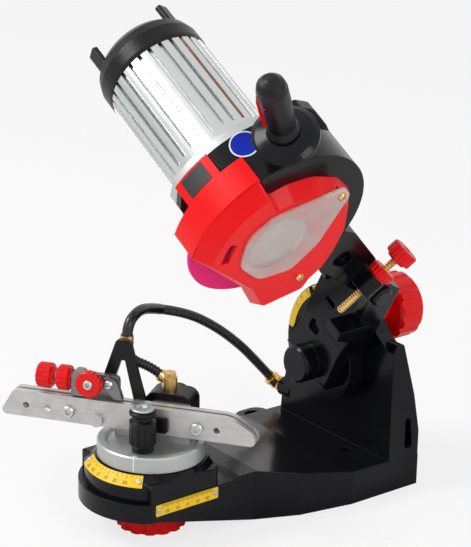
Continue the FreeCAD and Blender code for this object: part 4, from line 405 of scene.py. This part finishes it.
def bar_mouth(half_width, half_length, turn=0.0):
    """Reach of a straight bar's outline from its middle, at each angle round it."""
    with np.errstate(divide="ignore"):
        return np.minimum(half_width / np.abs(np.sin(around - turn)),
                          half_length / np.abs(np.cos(around - turn)))


def hexagon_mouth(half_across):
    """Reach of a hexagon's outline from its middle, at each angle round it."""
    return half_across / np.cos((around + np.pi / 6.0) % (np.pi / 3.0) - np.pi / 6.0)


def screw_head(radius, height, mouth, sunk):
    """Rings from the middle of the recess out over a domed top and down the side: the inner
    rings follow the mouth's outline and the outer ones are round."""
    even = np.ones_like(around)
    rings = [(0.0 * even, height - sunk), (mouth, height - sunk), (mouth * 1.02, height),
             (even * radius * 0.86, height * 0.96), (even * radius * 0.97, height * 0.7),
             (even * radius, height * 0.3), (even * radius, 0.0), (0.0 * even, 0.0)]
    return np.stack([np.stack([reach * np.cos(around), reach * np.sin(around), level * even], axis=-1)
                     for reach, level in rings])


cross = np.maximum(bar_mouth(0.28, 1.3), bar_mouth(0.28, 1.3, np.pi / 2.0))
scale_screw = screw_head(radius=2.2, height=1.1, mouth=cross, sunk=0.7)
cheek_x, slide_scale_middle = 49.3, 35.8
for side, y in (("front", -28.2), ("rear", 28.2)):
    seat = (cheek_x, y, slide_scale_middle)
    screw = skin("slide_scale_screw_" + side, base_points(along(scale_screw, seat, (1.0, 0.0, 0.0))), zinc)
    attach(screw, "base")
cone_run, cone_rise, plate_thick = 9.0, 8.0, 0.8
cone_middle_radius, cone_middle_height = 50.5, 57.5
for side, angle in (("left", -118.5), ("right", -47.5)):
    bearing = math.radians(angle)
    lift = math.atan2(cone_rise, cone_run)
    out = np.array((math.cos(bearing) * math.sin(lift), math.sin(bearing) * math.sin(lift), math.cos(lift)))
    seat = np.array((cone_middle_radius * math.cos(bearing), cone_middle_radius * math.sin(bearing),
                     cone_middle_height)) + out * plate_thick
    screw = skin("swivel_scale_screw_" + side, base_points(along(scale_screw, seat, out)), zinc)
    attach(screw, "vise_carriage")
post_head = screw_head(radius=9.4, height=1.6, mouth=hexagon_mouth(3.0), sunk=1.2)
post_top = (0.0, -22.0, 108.3)
post_cap = skin("post_cap_screw", vise_points(along(post_head, post_top, (0.0, 0.0, 1.0))), disc_aluminium)
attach(post_cap, "turntable")


# Red knobs and switch bar. Glossy moulded plastic with a slightly uneven skin;
# each knob is moulded round its screw or nut.
knob_red = surface_look("knob_red", (0.80, 0.002, 0.004), 0.24, shine=0.28)
rounded_edges(knob_red, 0.0006)
pattern(knob_red, 0.006, shade=0.3, tint=(0.55, 0.004, 0.006), rough=0.12, raised=0.00006)
dress(knob_red, "bottom_knob", "tilt_knob", "stop_screw_knob", "stop_lock_knob", "clamp_knob", "depth_knob",
      "depth_lock_knob", "switch_trigger")


# Wheel guard and front cover. Pressed and cast metal under bright red paint,
# with a bare black plate on the guard and a brass strip behind the cover's slot.
guard_red = surface_look("guard_red", (0.90, 0.001, 0.003), 0.28, shine=0.22)
rounded_edges(guard_red, 0.0010)
pattern(guard_red, 0.0018, raised=0.00004, rough=0.08, detail=2.0)
pattern(guard_red, 0.03, shade=0.18, tint=(0.66, 0.003, 0.005), raised=0.0003)
dress(guard_red, "wheel_guard", "front_cover")
plate_black = surface_look("plate_black", (0.010, 0.010, 0.011), 0.38, shine=0.45)
pattern(plate_black, 0.002, shade=0.3, tint=(0.03, 0.03, 0.03), rough=0.15)


axle_y, axle_up = 35.0, 204.0


def rim_patch(across, turn, out):
    """Points on a cylinder about the wheel's axle: across lies along the axle, turn is the angle
    from the rear in radians, and out is the distance from the axle."""
    return np.stack([across + 0.0 * turn + 0.0 * out, axle_y + out * np.cos(turn),
                     axle_up + out * np.sin(turn)], axis=-1)


across, turn = np.linspace(-31.0, -14.2, 13), np.radians(np.linspace(144.3, 160.3, 25))
edge_across = np.r_[across, np.full(25, across[-1]), across[::-1], np.full(25, across[0])]
edge_turn = np.r_[np.full(13, turn[0]), turn, np.full(13, turn[-1]), turn[::-1]]
middle_across, middle_turn = across.mean(), turn.mean()
guard_radius, plate_face, plate_back = 79.0, 0.4, -0.02
shrink = np.array([0.0, 0.25, 0.5, 0.75, 0.98, 1.0, 1.0, 0.75, 0.5, 0.25, 0.0])[:, None]
lift = guard_radius + np.r_[np.full(5, plate_face), 0.3, 0.0, np.full(4, plate_back)][:, None]
plate_grid = rim_patch(middle_across + (edge_across - middle_across) * shrink,
                       middle_turn + (edge_turn - middle_turn) * shrink, lift)
bare_plate = skin("guard_plate", head_points(plate_grid), plate_black, soft=False)
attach(bare_plate, "head")

strip_turn = np.radians(np.linspace(167.0, 188.5, 20))
strip_rings = [(21.5, 58.6), (22.55, 58.6), (22.55, 62.4), (21.5, 62.4)]
strip_grid = np.stack([rim_patch(np.full(20, level), strip_turn, np.full(20, reach))
                       for level, reach in strip_rings], axis=1)
strip_ends = strip_grid.mean(axis=1, keepdims=True).repeat(4, axis=1)
strip_grid = np.concatenate([strip_ends[:1], strip_grid, strip_ends[-1:]])
brass_strip = skin("cover_brass_strip", head_points(strip_grid), brass, soft=False)
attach(brass_strip, "head")


# Blue disc. A thin round blue label with a white edge, stuck on the black rim
# beside the hand grip.
label_blue = surface_look("label_blue", (0.002, 0.020, 0.40), 0.34, shine=0.15)
pattern(label_blue, 0.004, shade=0.25, tint=(0.008, 0.03, 0.30), rough=0.1)
label_white = surface_look("label_white", (0.85, 0.86, 0.88), 0.36)
pattern(label_white, 0.003, shade=0.15, tint=(0.7, 0.7, 0.7), rough=0.1)
rim_radius, label_across, label_turn = 77.0, -22.0, math.radians(119.6)


def round_label(name, inner, outer, lift, look):
    """A ring or disc bent round the rim: radius r and angle a give r cos a along the axle and
    r sin a round it, at a small height over the paint."""
    middle = (inner + outer) / 2.0
    reach = np.array([inner, inner, middle, outer, outer, middle, inner])[:, None]
    high = rim_radius + np.array([0.0, lift, lift, lift, 0.0, 0.0, 0.0])[:, None]
    grid = rim_patch(label_across + reach * np.cos(around),
                     label_turn + reach * np.sin(around) / rim_radius, high)
    piece = skin(name, head_points(grid), look, soft=False)
    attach(piece, "head")


round_label("label_disc", 0.0, 10.3, 0.22, label_blue)
round_label("label_edge", 10.3, 11.4, 0.24, label_white)


# Window. A milky clear plastic plate with a shallow dome over the wheel's hub,
# held behind the front cover by two brass screws.
lens_clear = surface_look("lens_clear", (0.93, 0.90, 0.87), 0.14, shine=0.5)
lens_shader = lens_clear.node_tree.nodes["Principled BSDF"]
lens_shader.inputs["Transmission Weight"].default_value = 0.62
lens_shader.inputs["IOR"].default_value = 1.2
rounded_edges(lens_clear, 0.0008)
pattern(lens_clear, 0.02, shade=0.25, tint=(0.80, 0.70, 0.64), rough=0.12)
dress(lens_clear, "lens")


# Grinding wheel. Pink vitrified abrasive with a coarse open grain, clamped
# between the hub and its nut.
abrasive = surface_look("pink_abrasive", (0.90, 0.004, 0.18), 0.85, shine=0.1)
pattern(abrasive, 0.0007, shade=0.5, tint=(0.98, 0.16, 0.42), raised=0.0002, detail=2.0,
        steps=(0.4, 0.65))
dress(abrasive, "grinding_wheel")


# Motor. A finned aluminium extrusion between a cast aluminium front plate and a
# black end cap with feet; inside are the stator, its copper windings and rotor.
fin_aluminium = surface_look("fin_aluminium", (0.60, 0.63, 0.62), 0.24, metal=0.92)
pattern(fin_aluminium, 0.0009, stretch=(22.0, 1.0, 1.0), turn=(0.0, head_lean, 0.0), shade=0.2,
        tint=(0.40, 0.42, 0.42), rough=0.12, raised=0.00002)
fin_count, gap_deep, gap_turn = 29, 3.6, math.radians(88.0)
fin_phase = np.array([0.02, 0.33, 0.355, 0.40, 0.60, 0.645, 0.67, 0.98])
fin_drop = np.array([0.0, 0.0, 0.35, 1.0, 1.0, 0.35, 0.0, 0.0])
fin_turn = gap_turn + (np.arange(fin_count)[:, None] + fin_phase - 0.5).ravel() * 2.0 * np.pi / fin_count
fin_low = np.tile(fin_drop, fin_count)


def finned_barrel():
    """Rings along the axle, each with its place, the fins' top and its share of the gaps' depth:
    the radius is the top less that share of the depth times the drop at that part of each fin,
    so the collar and the bore, with no share, are round."""
    rings = [(-162.0, 34.0, 0.0), (-162.0, 44.0, 1.0), (-161.2, 44.4, 1.0), (-100.0, 44.4, 0.92),
             (-72.0, 44.4, 0.75), (-67.4, 44.4, 0.6), (-67.0, 44.4, 0.0), (-66.6, 45.0, 0.0),
             (-60.0, 45.0, 0.0), (-59.5, 44.6, 0.0), (-59.5, 34.0, 0.0), (-162.0, 34.0, 0.0)]
    place, top, share = np.array(rings).T[:, :, None]
    return rim_patch(place, fin_turn[None, :], top - gap_deep * share * fin_low[None, :])


barrel = skin("motor_barrel", head_points(finned_barrel()), fin_aluminium, soft=False)
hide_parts("motor_body")
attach(barrel, "head")
tie_brown = surface_look("tie_rod_brown", (0.34, 0.11, 0.02), 0.4, metal=0.5)
pattern(tie_brown, 0.003, shade=0.4, tint=(0.16, 0.05, 0.01), rough=0.2)
tie_radius, tie_out = 1.25, 42.6
tie_line = rim_patch(np.linspace(-161.5, -67.5, 12), np.full(12, gap_turn), np.full(12, tie_out))
tie_grid = tube(tie_line, np.full(12, tie_radius), 16, (0.0, 0.3, 1.0))
tie_rod = skin("motor_tie_rod", head_points(tie_grid), tie_brown)
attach(tie_rod, "head")
plate_aluminium = surface_look("plate_aluminium", (0.55, 0.57, 0.56), 0.36, metal=0.85)
rounded_edges(plate_aluminium, 0.0010)
pattern(plate_aluminium, 0.0012, raised=0.00006, shade=0.25, tint=(0.45, 0.46, 0.46), rough=0.12,
        detail=3.0)
dress(plate_aluminium, "motor_bell")
cap_black = surface_look("cap_black", (0.004, 0.004, 0.005), 0.26, shine=0.24)
rounded_edges(cap_black, 0.0008)
pattern(cap_black, 0.0012, raised=0.00006, rough=0.15, detail=3.0)
dress(cap_black, "end_cap")
gland_rubber = surface_look("gland_rubber", (0.012, 0.012, 0.012), 0.6, shine=0.3)
pattern(gland_rubber, 0.002, shade=0.3, tint=(0.03, 0.03, 0.03), raised=0.00005)
dress(gland_rubber, "cord_gland")
lamination = surface_look("lamination", (0.30, 0.30, 0.31), 0.45, metal=0.9)
pattern(lamination, 0.0005, stretch=(1.0, 30.0, 30.0), turn=(0.0, head_lean, 0.0), shade=0.6,
        tint=(0.12, 0.12, 0.13), raised=0.00003)
dress(lamination, "stator", "rotor")
copper = surface_look("copper_wire", (0.72, 0.30, 0.14), 0.32, metal=1.0)
pattern(copper, 0.0008, stretch=(1.0, 20.0, 20.0), shade=0.5, tint=(0.40, 0.14, 0.06), raised=0.00008)
dress(copper, "windings")
fan_plastic = surface_look("fan_plastic", (0.02, 0.02, 0.02), 0.5)
pattern(fan_plastic, 0.002, shade=0.3, tint=(0.04, 0.04, 0.04), rough=0.1)
dress(fan_plastic, "cooling_fan")


# Hand grip. Black moulded plastic, satin, waisted for the fingers and pushed
# over the spigot of the head casting.
grip_black = surface_look("grip_black", (0.005, 0.005, 0.006), 0.32, shine=0.28)
rounded_edges(grip_black, 0.0006)
pattern(grip_black, 0.0009, raised=0.00008, rough=0.12, detail=2.0)
dress(grip_black, "handle_grip")


# Scale plates. Yellow painted strips with black lines and plain figures, held
# by two small screws each.
scale_yellow = surface_look("scale_yellow", (0.92, 0.60, 0.01), 0.40, shine=0.4)
pattern(scale_yellow, 0.004, shade=0.25, tint=(0.80, 0.48, 0.01), rough=0.15)
dress(scale_yellow, "slide_scale", "swivel_scale", "tilt_scale")
ink_black = surface_look("ink_black", (0.012, 0.012, 0.012), 0.5)
pattern(ink_black, 0.001, shade=0.3, tint=(0.05, 0.05, 0.05), rough=0.1)
ink_thick = 0.08


def figure_mesh(word, height, middle, foot):
    """Filled outline of a number in a plain face: vertices in millimetres (across, up, out)
    about the given middle and foot, and its faces."""
    curve = bpy.data.curves.new("figure", "FONT")
    curve.body = word
    curve.size = height * 1.4
    curve.align_x = "CENTER"
    curve.extrude = ink_thick / 2.0
    holder = bpy.data.objects.new("figure", curve)
    mesh = bpy.data.meshes.new_from_object(holder)
    spots = np.empty(len(mesh.vertices) * 3)
    mesh.vertices.foreach_get("co", spots)
    faces = [tuple(face.vertices) for face in mesh.polygons]
    bpy.data.objects.remove(holder)
    bpy.data.curves.remove(curve)
    bpy.data.meshes.remove(mesh)
    return spots.reshape(-1, 3) + (middle, foot, ink_thick / 2.0), faces


def tick_block(left, right, low, high):
    """Corners of a thin slab of ink between the four edges, and its six faces."""
    corners = np.array([(left, low, 0.0), (right, low, 0.0), (right, high, 0.0), (left, high, 0.0)])
    return (np.concatenate([corners, corners + (0.0, 0.0, ink_thick)]),
            [(3, 2, 1, 0), (4, 5, 6, 7), (0, 1, 5, 4), (1, 2, 6, 5), (2, 3, 7, 6), (3, 0, 4, 7)])


def printed(name, body, marks, lay):
    """All ink of one scale as one mesh: the marks' points in millimetres (across, up, out) are
    laid on the plate by the given formula."""
    spots, faces, count = [], [], 0
    for points, around_mark in marks:
        spots.append(points)
        faces += [tuple(corner + count for corner in face) for face in around_mark]
        count += len(points)
    mesh = bpy.data.meshes.new(name)
    mesh.from_pydata(lay(np.concatenate(spots)).tolist(), [], faces)
    mesh.materials.append(ink_black)
    piece = bpy.data.objects.new(name, mesh)
    scene.collection.objects.link(piece)
    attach(piece, body)


slide_plate_foot = 31.0
cone_foot_radius, cone_foot_height = 54.55, 53.9
crescent_inner, crescent_line, crescent_zero, crescent_face = 54.5, 58.0, math.radians(149.0), 194.2


def slide_lay(points):
    """Across runs to the rear of the base's cheek, up is up, and out leaves the cheek."""
    return base_points(np.stack([cheek_x + points[:, 2], points[:, 0],
                                 slide_plate_foot + points[:, 1]], axis=-1))


def swivel_lay(points):
    """Across is an arc on the cone, up climbs its slope, and out is square to the slope."""
    slope = math.hypot(cone_run, cone_rise)
    climb, out = points[:, 1] / slope, (plate_thick + points[:, 2]) / slope
    reach = cone_foot_radius - climb * cone_run + out * cone_rise
    level = cone_foot_height + climb * cone_rise + out * cone_run
    bearing = math.radians(-90.0) + points[:, 0] / cone_middle_radius
    return base_points(np.stack([reach * np.cos(bearing), reach * np.sin(bearing), level], axis=-1))


def tilt_lay(points):
    """Across is an arc that runs to the right over the pivot, up leaves the pivot, and out
    leaves the column's face."""
    reach = crescent_inner + points[:, 1]
    bearing = crescent_zero - points[:, 0] / crescent_line
    return base_points(np.stack([reach * np.cos(bearing), crescent_face - points[:, 2],
                                 chain_height + reach * np.sin(bearing)], axis=-1))


def hanging_ticks(places, step, half, top, long, short, every):
    """Ticks that hang from the top line at each place times the step, long at every so many."""
    return [tick_block(place * step - half, place * step + half,
                       top - (short if place % every else long), top) for place in places]


slide_marks = hanging_ticks(range(-25, 26), 1.0, 0.14, top=9.3, long=3.4, short=2.0, every=5)
slide_marks += [figure_mesh(str(abs(place)), 2.8, place, 1.4) for place in range(-20, 21, 10)]
printed("slide_scale_ink", "base", slide_marks, slide_lay)
cone_degree = math.radians(1.0) * cone_middle_radius
swivel_marks = hanging_ticks(range(-25, 40, 5), cone_degree, 0.15, top=10.2, long=3.6, short=2.2, every=10)
swivel_marks += [figure_mesh(str(abs(place)), 3.0, place * cone_degree, 1.8)
                 for place in range(-20, 31, 10)]
printed("swivel_scale_ink", "vise_carriage", swivel_marks, swivel_lay)
crescent_degree = math.radians(1.0) * crescent_line
tilt_marks = [tick_block(place * crescent_degree - 0.14, place * crescent_degree + 0.14, 0.4,
                         1.8 if place % 10 else 3.0) for place in range(0, 45, 5)]
tilt_marks += [figure_mesh(str(place), 2.2, place * crescent_degree, 3.7) for place in range(0, 41, 10)]
printed("tilt_scale_ink", "base", tilt_marks, tilt_lay)


# Floor and lights. A pale floor, a white surround, one large soft lamp high on
# the left and a weaker one on the right.
floor_mesh = bpy.data.meshes.new("floor")
floor_half = 6.0
floor_mesh.from_pydata([(-floor_half, -floor_half, 0.0), (floor_half, -floor_half, 0.0),
                        (floor_half, floor_half, 0.0), (-floor_half, floor_half, 0.0)], [], [(0, 1, 2, 3)])
floor_pale = surface_look("floor_pale", (0.90, 0.90, 0.90), 0.7, shine=0.1)
floor_tree = floor_pale.node_tree
floor_ray = floor_tree.nodes.new("ShaderNodeLightPath")
floor_share = floor_tree.nodes.new("ShaderNodeMath")
floor_share.operation = "MULTIPLY"
floor_share.inputs[1].default_value = 0.75
floor_glow = floor_tree.nodes.new("ShaderNodeEmission")
floor_mix = floor_tree.nodes.new("ShaderNodeMixShader")
floor_tree.links.new(floor_ray.outputs["Is Camera Ray"], floor_share.inputs[0])
floor_tree.links.new(floor_share.outputs["Value"], floor_mix.inputs["Fac"])
floor_tree.links.new(floor_tree.nodes["Principled BSDF"].outputs["BSDF"], floor_mix.inputs[1])
floor_tree.links.new(floor_glow.outputs["Emission"], floor_mix.inputs[2])
floor_tree.links.new(floor_mix.outputs["Shader"], floor_tree.nodes["Material Output"].inputs["Surface"])
floor_mesh.materials.append(floor_pale)
floor = bpy.data.objects.new("floor", floor_mesh)
scene.collection.objects.link(floor)

surround = bpy.data.worlds.new("surround")
surround.use_nodes = True
air = surround.node_tree
seen = air.nodes.new("ShaderNodeLightPath")
either = air.nodes.new("ShaderNodeMath")
either.operation = "MAXIMUM"
air.links.new(seen.outputs["Is Camera Ray"], either.inputs[0])
air.links.new(seen.outputs["Is Transmission Ray"], either.inputs[1])
any_seen = air.nodes.new("ShaderNodeMath")
any_seen.operation = "MAXIMUM"
air.links.new(either.outputs["Value"], any_seen.inputs[0])
air.links.new(seen.outputs["Is Glossy Ray"], any_seen.inputs[1])
strength = air.nodes.new("ShaderNodeMapRange")
strength.inputs["To Min"].default_value = 0.55
strength.inputs["To Max"].default_value = 1.0
air.links.new(any_seen.outputs["Value"], strength.inputs["Value"])
air.links.new(strength.outputs["Result"], air.nodes["Background"].inputs["Strength"])
air.nodes["Background"].inputs["Color"].default_value = (1.0, 1.0, 1.0, 1.0)
scene.world = surround


def lamp(name, place, power, size):
    """A square soft lamp aimed at the middle of the machine."""
    data = bpy.data.lights.new(name, "AREA")
    data.energy = power
    data.size = size
    item = bpy.data.objects.new(name, data)
    item.location = place
    item.rotation_mode = "QUATERNION"
    item.rotation_quaternion = (Vector(place) - looked_at).to_track_quat("Z", "Y")
    scene.collection.objects.link(item)


lamp("lamp_left", (-0.9, -1.5, 1.7), 26.0, 0.8)
lamp("lamp_right", (1.8, -0.3, 1.1), 9.0, 0.8)
